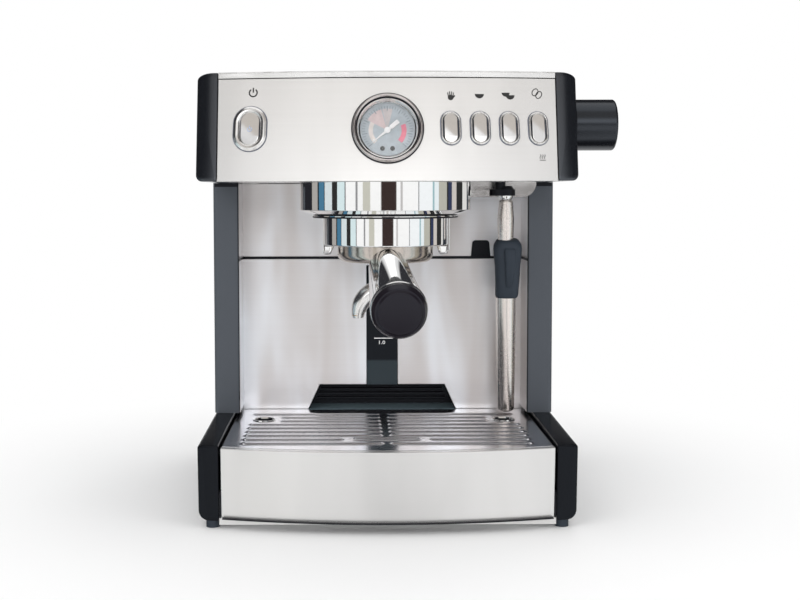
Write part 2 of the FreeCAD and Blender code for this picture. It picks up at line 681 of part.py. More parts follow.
# ------------------------------------------------------------------ splash panels
def make_splash_panels():
    low_edge = GRID_TOP - SHELL_WALL
    lower = box(-PANEL_HALF, PANEL_HALF, SPLASH_Y, SPLASH_BACK, low_edge, SPLIT_Z - SPLIT_GAP / 2)
    cut_top = BASE_TOP + CUTOUT_HEIGHT
    run = (CUTOUT_FOOT_WIDTH - CUTOUT_TOP_WIDTH) / 2 / (cut_top - GRID_TOP)
    foot_half = CUTOUT_TOP_WIDTH / 2 + run * (cut_top - low_edge)
    cutout = front_profile([
        (-foot_half, low_edge), (foot_half, low_edge),
        (CUTOUT_TOP_WIDTH / 2, cut_top), (-CUTOUT_TOP_WIDTH / 2, cut_top),
    ], SPLASH_Y - 1, SPLASH_BACK + 1)
    slot = box(-WINDOW_WIDTH / 2, WINDOW_WIDTH / 2, SPLASH_Y - 1, SPLASH_BACK + 1, cut_top - 1,
               BASE_TOP + WINDOW_TOP)
    save("lower_splash_panel", lower.cut(cutout).cut(slot))

    foot = SPLIT_Z + SPLIT_GAP / 2
    upper = box(-PANEL_HALF, PANEL_HALF, SPLASH_Y, SPLASH_BACK, foot, HEAD_BOTTOM - PANEL_GAP)
    notch = front_profile([
        (NOTCH_X - NOTCH_WIDTH / 2, foot), (NOTCH_X + NOTCH_WIDTH / 2, foot),
        (NOTCH_X + NOTCH_TOP_WIDTH / 2, foot + NOTCH_HEIGHT), (NOTCH_X - NOTCH_TOP_WIDTH / 2, foot + NOTCH_HEIGHT),
    ], SPLASH_Y - 1, SPLASH_BACK + 1)
    top_edges = edges_where(notch, lambda p: near(p.z, foot + NOTCH_HEIGHT))
    corners = [edge for edge in top_edges if near(edge.Length, SHEET + 2)]
    save("upper_splash_panel", upper.cut(notch.makeFillet(NOTCH_TOP_WIDTH / 5, corners)))


def make_level_window():
    """Smoked strip: a boss that fills the slot, with a lip behind the panel."""
    half = WINDOW_WIDTH / 2
    low = BASE_TOP + CUTOUT_HEIGHT
    high = BASE_TOP + WINDOW_TOP
    boss = box(-half + WINDOW_FIT, half - WINDOW_FIT, SPLASH_Y - WINDOW_PROUD, SPLASH_BACK, low, high - WINDOW_FIT)
    lip = box(-half - WINDOW_LIP, half + WINDOW_LIP, SPLASH_BACK, SPLASH_BACK + WINDOW_DEPTH, low + WINDOW_LIP,
              high + WINDOW_LIP)
    save("level_window", joined([boss, lip]))


def make_splash_insert():
    """Dark ribbed recess behind the cut-out over the drip grid."""
    half = CUTOUT_FOOT_WIDTH / 2 + WINDOW_LIP
    low = GRID_TOP - SHELL_WALL
    high = BASE_TOP + CUTOUT_HEIGHT + WINDOW_LIP
    back = SPLASH_BACK + INSERT_DEPTH
    outer = box(-half, half, SPLASH_BACK, back, low, high)
    inner = box(-half + INSERT_WALL, half - INSERT_WALL, SPLASH_BACK, back - INSERT_WALL, low + INSERT_WALL,
                high - INSERT_WALL)
    insert = outer.cut(inner)
    slot = half - 4 * INSERT_WALL
    pitch = (high - low) / (INSERT_RIBS + 2)
    ribs = [insert]
    for index in range(INSERT_RIBS):
        z = high - pitch * (index + 1)
        ribs.append(box(-slot, slot, back - 1.5 * INSERT_WALL, back - INSERT_WALL / 2, z, z + INSERT_WALL))
    save("splash_insert", joined(ribs))


# ------------------------------------------------------------------ controls
def control_caps():
    """Place and cap size of every push button, the power button first."""
    return [(POWER_X, POWER_CAP)] + [(x, BUTTON_CAP) for x in BUTTON_XS]


def button_ring(ring, cap):
    """Dished ring on the fascia with a spigot that guides the cap, in local axes."""
    bore = (cap[0] + 2 * CAP_FIT, cap[1] + 2 * CAP_FIT)
    spigot = pill(bore[0] + 2 * RING_WALL, bore[1] + 2 * RING_WALL, -RING_SPIGOT, RING_RIM)
    flange = pill(ring[0], ring[1], CAP_FIT, RING_RISE)
    body = spigot.fuse(flange)
    low = pill_wire(bore[0], bore[1], RING_RIM)
    high = pill_wire(ring[0] - 2 * RING_RIM, ring[1] - 2 * RING_RIM, RING_RISE)
    dish = Part.makeLoft([low, high], True, True)
    bore_cut = pill(bore[0], bore[1], -RING_SPIGOT - 1, RING_RISE + 1)
    return body.cut(dish).cut(bore_cut).removeSplitter()


def button_cap(cap):
    """Push cap with a retaining flange and a stem, in local axes."""
    face = pill(cap[0], cap[1], -RING_SPIGOT - CAP_FIT, CAP_RISE)
    rim = edges_where(face, lambda p: near(p.z, CAP_RISE))
    face = face.makeFillet(CAP_RISE / 2, rim)
    flange_low = -RING_SPIGOT - BUTTON_TRAVEL
    flange = pill(cap[0] + 2 * RING_WALL, cap[1] + 2 * RING_WALL, flange_low, -RING_SPIGOT - CAP_FIT / 2)
    stem = Part.makeCylinder(CAP_STEM_RADIUS, 2 * BUTTON_TRAVEL, vec(0, 0, flange_low - 2 * BUTTON_TRAVEL))
    return joined([face, flange, stem])


def make_buttons():
    save("power_ring", placed(button_ring(POWER_RING, POWER_CAP), fascia_frame(POWER_X, CONTROL_Z)))
    save("power_button", placed(button_cap(POWER_CAP), fascia_frame(POWER_X, CONTROL_Z)))
    rings = []
    for name, x in zip(BUTTON_NAMES, BUTTON_XS):
        frame = fascia_frame(x, CONTROL_Z)
        rings.append(placed(button_ring(BUTTON_RING, BUTTON_CAP), frame))
        save(name, placed(button_cap(BUTTON_CAP), frame))
    save("button_rings", Part.makeCompound(rings))


def make_switch_bank():
    """Curved carrier behind the fascia with one switch block behind each button."""
    low = CONTROL_Z - CARRIER_HEIGHT / 2
    high = CONTROL_Z + CARRIER_HEIGHT / 2
    half = CHEEK_IN - SHELL_WALL
    lean = fascia_lean_at(high) - fascia_lean_at(low)
    setback = CARRIER_SETBACK + fascia_lean_at(low)
    bank = bowed_sheet(FASCIA_ARC, half, CARRIER_SHEET, low, high, lean, setback)
    gauge_hole = Part.makeCylinder(GAUGE_CASE_RADIUS + 1, 3 * CARRIER_SETBACK, vec(0, 0, -3 * CARRIER_SETBACK))
    bank = bank.cut(placed(gauge_hole, fascia_frame(0, CONTROL_Z)))
    pieces = [bank]
    side = SWITCH_SIDE / 2
    for x, cap in control_caps():
        switch = box(-side, side, -side, side, -CARRIER_SETBACK, SWITCH_TOP)
        pieces.append(placed(switch, fascia_frame(x, CONTROL_Z)))
    outer_x = half - SHELL_WALL
    inner_x = GAUGE_CASE_RADIUS + SHELL_WALL
    for x in (-outer_x, -inner_x, inner_x, outer_x):
        post = Part.makeCylinder(SHELL_WALL / 2, CARRIER_SETBACK - FASCIA_SHEET - 0.1, vec(0, 0, -CARRIER_SETBACK))
        pieces.append(placed(post, fascia_frame(x, CONTROL_Z + CARRIER_HEIGHT / 3)))
    save("switch_bank", joined(pieces))


def gauge_turned(points):
    """Solid of revolution about the gauge's own axis from (radius, local z) points."""
    return placed(turned(points), fascia_frame(0, CONTROL_Z))


def make_gauge():
    glass = GAUGE_GLASS_RADIUS
    inner = GAUGE_CASE_RADIUS - 1.2
    step = -GLASS_THICKNESS
    case = gauge_turned([
        (glass, step), (glass, GAUGE_RISE - 1.8), (glass + 1.6, GAUGE_RISE - 0.6), (glass + 2.4, GAUGE_RISE - 1.2),
        (glass + 3.2, GAUGE_RISE), (GAUGE_RADIUS - 1.6, GAUGE_RISE), (GAUGE_RADIUS, GAUGE_RISE - 1.8),
        (GAUGE_RADIUS, CAP_FIT), (GAUGE_CASE_RADIUS, CAP_FIT), (GAUGE_CASE_RADIUS, -GAUGE_DEPTH),
        (5.0, -GAUGE_DEPTH), (5.0, -GAUGE_DEPTH - 6), (2.0, -GAUGE_DEPTH - 6), (2.0, -BEARING_REAR),
        (ARBOR_RADIUS + ARBOR_FIT, -BEARING_REAR), (ARBOR_RADIUS + ARBOR_FIT, -BEARING_FRONT), (4.0, -BEARING_FRONT),
        (4.0, -GAUGE_DEPTH + 1.5), (inner - 2, -GAUGE_DEPTH + 1.5), (inner - 2, -DIAL_DEPTH), (inner, -DIAL_DEPTH),
        (inner, step),
    ])
    save("gauge_case", case)
    disc = inner - CAP_FIT / 4
    save("gauge_glass", gauge_turned([(0, step - GLASS_THICKNESS), (disc, step - GLASS_THICKNESS), (disc, step), (0, step)]))
    dial = gauge_turned([
        (ARBOR_RADIUS + ARBOR_FIT, -DIAL_DEPTH), (disc, -DIAL_DEPTH),
        (disc, -DIAL_DEPTH + DIAL_THICKNESS), (ARBOR_RADIUS + ARBOR_FIT, -DIAL_DEPTH + DIAL_THICKNESS),
    ])
    save("gauge_dial", dial)
    save("gauge_needle", placed(needle_shape(), fascia_frame(0, CONTROL_Z)))


def needle_shape():
    """Pointer, hub and arbor, in the gauge's local axes."""
    low = -DIAL_DEPTH + DIAL_THICKNESS + 0.6
    blade = polygon([
        vec(-NEEDLE_TAIL, -1.3, low), vec(-NEEDLE_TAIL, 1.3, low), vec(0, 0.9, low),
        vec(NEEDLE_LENGTH, 0.25, low), vec(NEEDLE_LENGTH, -0.25, low), vec(0, -0.9, low),
    ]).extrude(vec(0, 0, 0.5))
    hub = Part.makeCylinder(2.4, 1.4, vec(0, 0, low - 0.2))
    arbor = Part.makeCylinder(ARBOR_RADIUS, BEARING_REAR - 1 + low, vec(0, 0, 1 - BEARING_REAR))
    needle = joined([blade, hub, arbor])
    needle.rotate(vec(0, 0, 0), vec(0, 0, 1), NEEDLE_REST)
    return needle


# ------------------------------------------------------------------ brewing group
def make_group():
    chamfer_top = HEAD_BOTTOM - SHROUD_HEIGHT
    low_radius = SHROUD_RADIUS - SHROUD_CHAMFER_IN
    wall = SHROUD_WALL
    floor_in = GROUP_BODY_RADIUS + 3
    shroud = turned([
        (SHROUD_RADIUS, HEAD_BOTTOM), (SHROUD_RADIUS, chamfer_top), (low_radius, SHROUD_LOW), (floor_in, SHROUD_LOW),
        (floor_in, SHROUD_LOW + wall), (low_radius - wall / 2, SHROUD_LOW + wall),
        (SHROUD_RADIUS - wall, chamfer_top + wall / 2), (SHROUD_RADIUS - wall, HEAD_BOTTOM),
    ], 0, GROUP_Y)
    save("group_shroud", shroud)

    seat = SHROUD_LOW
    neck = BOILER_RADIUS / 2
    screen_top = SPIGOT_TOP - SHELL_WALL
    gasket_low = SPIGOT_TOP + BASKET_WALL + LUG_FIT
    gasket_in = SCREEN_RADIUS + 2
    body = turned([
        (5, screen_top), (SCREEN_RADIUS, screen_top), (SCREEN_RADIUS, gasket_low + 1), (gasket_in, gasket_low + 1),
        (gasket_in, seat), (GROUP_BODY_RADIUS, seat), (GROUP_BODY_RADIUS, HEAD_BOTTOM), (neck, HEAD_BOTTOM), (neck, DECK_TOP),
        (5, DECK_TOP),
    ], 0, GROUP_Y)
    save("group_body", body)
    save("group_gasket", turned([
        (gasket_in, gasket_low), (COLLAR_BORE - 0.6, gasket_low), (COLLAR_BORE - 0.6, seat), (gasket_in, seat),
    ], 0, GROUP_Y))
    save("shower_screen", turned([
        (0, screen_top - 2.4), (SCREEN_RADIUS - 4, screen_top - 2.4), (SCREEN_RADIUS, screen_top - 1),
        (SCREEN_RADIUS, screen_top), (SCREEN_RADIUS - 2, screen_top), (SCREEN_RADIUS - 4, screen_top - 1.2),
        (0, screen_top - 1.2),
    ], 0, GROUP_Y))
    save("group_collar", collar_shape())


def collar_shape():
    """Bayonet ring under the shroud, with a groove, two entries and two ears below."""
    groove_low = COLLAR_LOW + LUG_GROOVE_LOW
    groove_high = COLLAR_LOW + LUG_GROOVE_HIGH
    ring = turned([
        (COLLAR_BORE, COLLAR_LOW), (COLLAR_RADIUS, COLLAR_LOW), (COLLAR_RADIUS, SHROUD_LOW), (COLLAR_BORE, SHROUD_LOW),
        (COLLAR_BORE, groove_high), (LUG_GROOVE_RADIUS, groove_high), (LUG_GROOVE_RADIUS, groove_low),
        (COLLAR_BORE, groove_low),
    ], 0, GROUP_Y)
    ear_in = PORTAFILTER_RADIUS + 1.5
    ear_limit = rod(COLLAR_RADIUS, vec(0, GROUP_Y, COLLAR_LOW - EAR_DROP), vec(0, GROUP_Y, COLLAR_LOW + 1))
    ears = []
    entries = []
    for angle in (0, 180):
        ear = front_profile([
            (ear_in, COLLAR_LOW + 0.5), (ear_in, COLLAR_LOW - EAR_DROP / 3), (COLLAR_RADIUS - 6, COLLAR_LOW - EAR_DROP),
            (COLLAR_RADIUS, COLLAR_LOW - EAR_DROP), (COLLAR_RADIUS, COLLAR_LOW + 0.5),
        ], GROUP_Y - EAR_WIDTH / 2, GROUP_Y + EAR_WIDTH / 2)
        ear.rotate(vec(0, GROUP_Y, 0), vec(0, 0, 1), angle)
        ears.append(ear.common(ear_limit))
        half = LUG_WIDTH / 2 + 1
        entry = box(0, LUG_GROOVE_RADIUS, GROUP_Y - half, GROUP_Y + half, COLLAR_LOW - 1, groove_high)
        entry.rotate(vec(0, GROUP_Y, 0), vec(0, 0, 1), angle - UNLOCK_ANGLE + HANDLE_TURN)
        entries.append(entry)
    return joined([ring] + ears).cut(Part.makeCompound(entries))


def portafilter_body_shape():
    low = PORTAFILTER_LOW
    top = PORTAFILTER_TOP
    radius = PORTAFILTER_RADIUS
    corner = PORTAFILTER_CORNER
    bore = SPIGOT_RADIUS - PORTAFILTER_WALL
    floor = low + PORTAFILTER_WALL
    drain = SPOUT_BORE + 1
    middle = corner * (1 - math.sqrt(0.5))
    y = GROUP_Y

    def point(r, z):
        return vec(r, y, z)

    def line(r0, z0, r1, z1):
        return Part.LineSegment(point(r0, z0), point(r1, z1)).toShape()

    rounded = Part.Arc(point(radius - corner, low), point(radius - middle, low + middle), point(radius, low + corner))
    edges = [
        line(drain, low, radius - corner, low), rounded.toShape(), line(radius, low + corner, radius, top),
        line(radius, top, SPIGOT_RADIUS, top), line(SPIGOT_RADIUS, top, SPIGOT_RADIUS, SPIGOT_TOP),
        line(SPIGOT_RADIUS, SPIGOT_TOP, bore, SPIGOT_TOP), line(bore, SPIGOT_TOP, bore, floor),
        line(bore, floor, drain, floor), line(drain, floor, drain, low),
    ]
    body = Part.Face(Part.Wire(edges)).revolve(vec(0, y, 0), vec(0, 0, 1), 360)
    lug_low = COLLAR_LOW + LUG_GROOVE_LOW + LUG_FIT
    limit = rod(LUG_REACH, vec(0, y, lug_low), vec(0, y, lug_low + LUG_HEIGHT))
    core = rod(SPIGOT_RADIUS - 1, vec(0, y, lug_low - 1), vec(0, y, lug_low + LUG_HEIGHT + 1))
    bar = box(-LUG_REACH - 1, LUG_REACH + 1, y - LUG_WIDTH / 2, y + LUG_WIDTH / 2, lug_low, lug_low + LUG_HEIGHT)
    return joined([body, bar.common(limit).cut(core)])


def handle_frame():
    """Local Z runs along the handle, from the middle of its rounded root to its end."""
    slope = math.radians(HANDLE_SLOPE)
    direction = vec(0, -math.cos(slope), -math.sin(slope))
    root = vec(0, GROUP_Y - HANDLE_ROOT, PORTAFILTER_LOW - HANDLE_DROP)
    return FreeCAD.Placement(root, FreeCAD.Rotation(vec(0, 0, 1), direction))


def handle_shape(body):
    length = HANDLE_LENGTH
    lip = 1.5
    cone = Part.makeCone(HANDLE_ROOT_RADIUS, HANDLE_END_RADIUS, length)
    cone = cone.makeFillet(lip, [edge for edge in cone.Edges if near(edge.BoundBox.ZMin, length)])
    root = Part.makeSphere(HANDLE_ROOT_RADIUS)
    handle = placed(joined([cone, root]), handle_frame())
    clear = rod(SPIGOT_RADIUS, vec(0, GROUP_Y, PORTAFILTER_LOW), vec(0, GROUP_Y, SPIGOT_TOP))
    return handle.cut(body).cut(clear)


def handle_cap_shape():
    """Dark end cap with a long soft edge, in place."""
    start = HANDLE_LENGTH
    end = start + CAP_LENGTH
    soft = CAP_RADIUS - CAP_FACE_RADIUS
    shoulder = end - CAP_LENGTH * 0.64
    profile = Part.Wire([
        Part.LineSegment(vec(0, 0, start), vec(CAP_RADIUS, 0, start)).toShape(),
        Part.LineSegment(vec(CAP_RADIUS, 0, start), vec(CAP_RADIUS, 0, shoulder)).toShape(),
        Part.Arc(vec(CAP_RADIUS, 0, shoulder), vec(CAP_RADIUS - soft * 0.3, 0, shoulder + (end - shoulder) * 0.68),
                 vec(CAP_FACE_RADIUS, 0, end)).toShape(),
        Part.LineSegment(vec(CAP_FACE_RADIUS, 0, end), vec(0, 0, end)).toShape(),
        Part.LineSegment(vec(0, 0, end), vec(0, 0, start)).toShape(),
    ])
    cap = Part.Face(profile).revolve(vec(0, 0, 0), vec(0, 0, 1), 360)
    return placed(cap, handle_frame())


def spout_shape():
    """Stem under the portafilter that parts into two curved outlets."""
    end_z = PORTAFILTER_LOW - SPOUT_DROP
    top = PORTAFILTER_LOW

    def bend(side, radius):
        circle = Part.makeCircle(radius, vec(side * SPOUT_SPREAD, GROUP_Y, end_z), vec(0, 0, 1))
        face = Part.Face(Part.Wire(circle))
        return face.revolve(vec(0, GROUP_Y, end_z), vec(0, 1, 0), -side * 90)

    crest = end_z + SPOUT_SPREAD
    stem = rod(SPOUT_STEM_RADIUS, vec(0, GROUP_Y, crest), vec(0, GROUP_Y, top))
    knuckle = Part.makeSphere(SPOUT_STEM_RADIUS, vec(0, GROUP_Y, crest))
    bore = rod(SPOUT_BORE, vec(0, GROUP_Y, crest), vec(0, GROUP_Y, top + 1))
    outside = joined([stem, knuckle, bend(-1, SPOUT_RADIUS), bend(1, SPOUT_RADIUS)])
    inside = bore.multiFuse([bend(-1, SPOUT_BORE), bend(1, SPOUT_BORE)])
    return outside.cut(inside)


def make_portafilter():
    body = portafilter_body_shape()
    floor = SPIGOT_TOP - BASKET_DEPTH
    basket = turned([
        (0, floor), (BASKET_RADIUS, floor), (BASKET_RADIUS, SPIGOT_TOP), (BASKET_RIM, SPIGOT_TOP),
        (BASKET_RIM, SPIGOT_TOP + BASKET_WALL), (BASKET_RADIUS - BASKET_WALL, SPIGOT_TOP + BASKET_WALL),
        (BASKET_RADIUS - BASKET_WALL, floor + BASKET_WALL), (0, floor + BASKET_WALL),
    ], 0, GROUP_Y)
    pieces = [
        ("portafilter_body", body), ("filter_basket", basket), ("portafilter_handle", handle_shape(body)),
        ("handle_cap", handle_cap_shape()), ("spout", spout_shape()),
    ]
    for node, shape in pieces:
        shape.rotate(vec(0, GROUP_Y, 0), vec(0, 0, 1), HANDLE_TURN)
        save(node, shape)


# ------------------------------------------------------------------ steam wand and knob
def wand_frame():
    """Local Z runs down the wand from the ball's centre; the second value is its length."""
    ball = vec(BALL_X, BALL_Y, BALL_Z)
    tip = vec(WAND_TIP_X, WAND_TIP_Y, GRID_TOP + RIB_RISE + WAND_TIP_GAP)
    run = tip - ball
    return FreeCAD.Placement(ball, FreeCAD.Rotation(vec(0, 0, 1), run)), run.Length


def make_wand():
    frame, length = wand_frame()
    ball = Part.makeSphere(BALL_RADIUS, vec(BALL_X, BALL_Y, BALL_Z))
    save("wand_ball", ball)
    split = GRIP_END - SLEEVE_LAP
    tube = turned([
        (WAND_RADIUS / 2, BALL_RADIUS - 1), (NECK_RADIUS, BALL_RADIUS - 1), (WAND_RADIUS, NECK_LENGTH),
        (WAND_RADIUS, split), (WAND_RADIUS / 2, split),
    ])
    tube = tube.cut(Part.makeSphere(BALL_RADIUS + LUG_FIT))
    save("wand_tube", placed(tube, frame))
    sleeve = turned([
        (WAND_RADIUS / 2, split), (SLEEVE_TOP_RADIUS, split), (SLEEVE_TOP_RADIUS, GRIP_END),
        (SLEEVE_TIP_RADIUS, length - 1.5), (SLEEVE_TIP_RADIUS - 1.5, length), (1.0, length), (1.0, length - 8),
        (WAND_RADIUS / 2, length - 14),
    ])
    save("wand_sleeve", placed(sleeve, frame))
    save("wand_grip", placed(grip_shape(split), frame))


def grip_shape(split):
    """Soft grip over the joint between tube and sleeve, bulged at its top, with a thumb rib."""
    tube_bore = WAND_RADIUS + GRIP_FIT
    sleeve_bore = SLEEVE_TOP_RADIUS + GRIP_FIT
    start = GRIP_START
    end = GRIP_END
    body = turned([
        (tube_bore, start), (GRIP_BULGE_RADIUS - 2.2, start), (GRIP_BULGE_RADIUS - 0.6, start + 2.5),
        (GRIP_BULGE_RADIUS, start + 9), (GRIP_BULGE_RADIUS - 0.7, start + 18), (GRIP_RADIUS, start + 30),
        (GRIP_RADIUS, end - 1.5), (GRIP_RADIUS - 1.2, end), (sleeve_bore, end), (sleeve_bore, split),
        (tube_bore, split),
    ])
    rib = box(-4, 4, 0, GRIP_RADIUS + 2.2, start + 12, start + 41)
    rib = rib.cut(Part.makeCylinder(GRIP_RADIUS - 1, end, vec(0, 0, 0)))
    return joined([body, rib])


def make_wand_socket():
    """Dark oblong socket over the ball, on a short stub from the head."""
    x = BALL_X + SOCKET_OFFSET
    low = BALL_Z - SOCKET_LIP
    high = low + SOCKET_HEIGHT
    roof = BALL_Z + BALL_RADIUS + SOCKET_ROOF
    nut = flat_pill(SOCKET_WIDTH, SOCKET_DEPTH, x, BALL_Y, low, high)
    dome = Part.makeCone(SOCKET_DEPTH / 2 - 1.5, BALL_RADIUS - 1.5, roof - high + 1, vec(BALL_X, BALL_Y, high - 1))
    stub_x = BALL_X + STUB_OFFSET
    stub = rod(STUB_RADIUS, vec(stub_x, BALL_Y, high - 1), vec(stub_x, BALL_Y, HEAD_BOTTOM))
    seat = Part.makeSphere(BALL_RADIUS + BALL_FIT, vec(BALL_X, BALL_Y, BALL_Z))
    save("wand_socket", joined([nut, dome, stub]).cut(seat))


def make_wand_bracket():
    """Steel apron behind the socket, with its top flange and a bent arm to the left."""
    back = COLUMN_Y - APRON_GAP
    front = back - SHEET
    low = HEAD_BOTTOM - APRON_DROP
    apron = box(APRON_LEFT, APRON_RIGHT, front, back, low, HEAD_BOTTOM)
    rounding = edges_where(apron, lambda p: near(p.z, low) and near(p.x, APRON_RIGHT))
    apron = apron.makeFillet(APRON_DROP * 0.95, rounding)
    arm_z = BALL_Z - SOCKET_LIP
    arm_end = BALL_X + SOCKET_OFFSET - SOCKET_WIDTH / 2 - LUG_FIT
    arm = front_profile([
        (APRON_LEFT, arm_z), (arm_end, arm_z), (arm_end, arm_z + 5), (APRON_LEFT + 3, arm_z + 5),
        (APRON_LEFT - 1, HEAD_BOTTOM), (APRON_LEFT - 7, HEAD_BOTTOM),
    ], BALL_Y - 6, BALL_Y + 6)
    tie = box(APRON_LEFT, APRON_LEFT + 8, BALL_Y + 5, back, arm_z, arm_z + SHEET)
    clear = rod(SHROUD_RADIUS + PANEL_GAP, vec(0, GROUP_Y, low - 1), vec(0, GROUP_Y, HEAD_BOTTOM + 1))
    save("wand_bracket", joined([apron, arm, tie]).cut(clear))


def make_steam_valve():
    """Valve block on the head deck; the knob's spindle turns in its bore."""
    x1 = CHEEK_IN - VALVE_SETBACK
    x0 = x1 - VALVE_LENGTH
    low = KNOB_Z - VALVE_HEIGHT / 2
    inset = VALVE_LENGTH / 6
    block = box(x0, x1, KNOB_Y - VALVE_DEPTH / 2, KNOB_Y + VALVE_DEPTH / 2, low, low + VALVE_HEIGHT)
    foot = box(x0 + inset, x1 - inset, KNOB_Y - VALVE_DEPTH / 3, KNOB_Y + VALVE_DEPTH / 3, DECK_TOP, low + 1)
    bore = rod(SPINDLE_RADIUS + SPINDLE_FIT, vec(x1 - SPINDLE_REACH - 1, KNOB_Y, KNOB_Z), vec(x1 + 1, KNOB_Y, KNOB_Z))
    save("steam_valve", joined([block, foot]).cut(bore))


def make_steam_knob():
    start = HALF_WIDTH + KNOB_GAP
    end = start + KNOB_LENGTH
    knob = rod(KNOB_RADIUS, vec(start, KNOB_Y, KNOB_Z), vec(end, KNOB_Y, KNOB_Z))
    outer_edge = [edge for edge in knob.Edges if near(edge.BoundBox.XMin, end)]
    inner_edge = [edge for edge in knob.Edges if near(edge.BoundBox.XMax, start)]
    knob = knob.makeFillet(2.0, outer_edge + inner_edge)
    inner = CHEEK_IN - VALVE_SETBACK - SPINDLE_REACH
    spindle = rod(SPINDLE_RADIUS, vec(inner, KNOB_Y, KNOB_Z), vec(start + 5, KNOB_Y, KNOB_Z))
    save("steam_knob", joined([knob, spindle]))


# ------------------------------------------------------------------ drip tray
def make_drip_tray():
    rear = SPLASH_Y - TRAY_REAR_GAP - TRAY_WALL
    half = TRAY_HALF - SHEET - TRAY_RUN_GAP
    low = PAN_FLOOR + TRAY_RUN_GAP
    front = BASE_LEAN + 2 * SHEET
    outer = bowed_block(TRAY_ARC, half, rear, low, GRID_LOW, 0, front)
    inner = bowed_block(TRAY_ARC, half - TRAY_WALL, rear - TRAY_WALL, low + TRAY_WALL, GRID_LOW + 1, 0, front + TRAY_WALL)
    save("drip_tray", outer.cut(inner))

    skin = bowed_block(TRAY_ARC, TRAY_HALF, FRONT_Y + 30, FOOT_HEIGHT, GRID_TOP, -BASE_LEAN, BASE_LEAN)
    core = bowed_block(TRAY_ARC, TRAY_HALF + 1, FRONT_Y + 40, FOOT_HEIGHT - 1, GRID_TOP + 1, 0, front)
    save("tray_front", skin.cut(core))
    save("drip_grid", grid_shape(rear + TRAY_WALL))


def grid_shape(rear):
    """Pressed steel grid: ribs either side of a plain middle, finger holes and a plain emboss."""
    front = BASE_LEAN + 2 * SHEET
    plate = bowed_block(TRAY_ARC, TRAY_HALF, rear, GRID_LOW, GRID_TOP, 0, front)
    flange = box(TRAY_HALF - SHEET, TRAY_HALF, FRONT_Y + front + TRAY_BOW / 2, rear, GRID_TOP - GRID_FLANGE, GRID_LOW + 0.5)
    pieces = [plate, flange, mirrored(flange)]
    first = rear - RIB_BACK_OFFSET
    hole_y = rear - HOLE_BACK_OFFSET
    emboss_y = rear - EMBOSS_BACK_OFFSET
    for index in range(RIB_COUNT):
        y = first - RIB_PITCH * index
        if y < arc_y(TRAY_ARC, RIB_OUTER) + front + RIB_WIDTH:
            continue
        outer = RIB_OUTER
        inner = RIB_INNER
        if abs(y - hole_y) < HOLE_DEPTH / 2 + RIB_WIDTH / 2 + 3:
            outer = HOLE_X - HOLE_LENGTH / 2 - HOLE_MARGIN
        if abs(y - emboss_y) < EMBOSS_DEPTH / 2 + RIB_WIDTH / 2:
            inner = EMBOSS_LENGTH / 2 + RIB_WIDTH
        for side in (-1, 1):
            middle = side * (inner + outer) / 2
            pieces.append(flat_pill(outer - inner, RIB_WIDTH, middle, y, GRID_TOP - 0.5, GRID_TOP + RIB_RISE))
    pieces.append(flat_pill(EMBOSS_LENGTH, EMBOSS_DEPTH, 0, emboss_y, GRID_TOP - 0.5, GRID_TOP + RIB_RISE))
    grid = joined(pieces)
    for side in (-1, 1):
        grid = grid.cut(flat_pill(HOLE_LENGTH, HOLE_DEPTH, side * HOLE_X, hole_y, GRID_LOW - 1, GRID_TOP + 2))
    return grid


# ------------------------------------------------------------------ inside
def make_water_tank():
    """Lift-out tank behind the splash panels; its lid closes the opening in the top cover."""
    half = TANK_HALF_WIDTH
    top = CASE_TOP - TANK_LID_HEIGHT - PANEL_GAP
    low = SHELF_TOP + TRAY_RUN_GAP
    outer = box(-half, half, TANK_FRONT, TANK_REAR, low, top)
    outer = outer.cut(box(-half - 1, half + 1, TANK_FRONT - 1, TANK_STEP, low - 1, TANK_STEP_TOP))
    inner = box(-half + TANK_WALL, half - TANK_WALL, TANK_FRONT + TANK_WALL, TANK_REAR - TANK_WALL,
                low + TANK_WALL, top + 1)
    inner = inner.cut(box(-half, half, TANK_FRONT, TANK_STEP + TANK_WALL, low, TANK_STEP_TOP + TANK_WALL))
    lid_half = half + TANK_FIT / 2
    lid_front = TANK_FRONT - TANK_FIT / 2
    lid_rear = TANK_REAR + TANK_FIT / 2
    edge = TANK_LID_HEIGHT / 2
    hinge_y = TANK_REAR - TANK_WALL - edge
    hinge_z = CASE_TOP - edge
    strip = box(-lid_half, lid_half, hinge_y + edge + LUG_FIT, lid_rear, top - 1, CASE_TOP)
    ear_in = lid_half - LID_PIN_REACH
    ear = joined([
        box(ear_in, lid_half, hinge_y, lid_rear, top - 1, CASE_TOP),
        box(ear_in, lid_half, hinge_y - edge, lid_rear, top - 1, hinge_z),
        rod(edge, vec(ear_in, hinge_y, hinge_z), vec(lid_half, hinge_y, hinge_z)),
    ])
    rail = box(half - TANK_WALL, lid_half, hinge_y - edge, lid_rear, top - 1 - TANK_WALL, top - 0.5)
    pin_hole = rod(LID_PIN_RADIUS + LID_HINGE_FIT, vec(-half - 5, hinge_y, hinge_z), vec(half + 5, hinge_y, hinge_z))
    tank = joined([outer.cut(inner), strip, ear, mirrored(ear), rail, mirrored(rail)])
    save("water_tank", tank.cut(pin_hole))

    flap_half = lid_half - LID_PIN_REACH - LUG_FIT
    flap = box(-lid_half, lid_half, lid_front, hinge_y - edge - LUG_FIT, top + PANEL_GAP, CASE_TOP)
    neck = box(-flap_half, flap_half, hinge_y - 2 * edge, hinge_y, top + PANEL_GAP, CASE_TOP)
    roll = rod(edge, vec(-flap_half, hinge_y, hinge_z), vec(flap_half, hinge_y, hinge_z))
    pin_end = lid_half - LUG_FIT
    pin = rod(LID_PIN_RADIUS, vec(-pin_end, hinge_y, hinge_z), vec(pin_end, hinge_y, hinge_z))
    save("tank_lid", joined([flap, neck, roll, pin]))


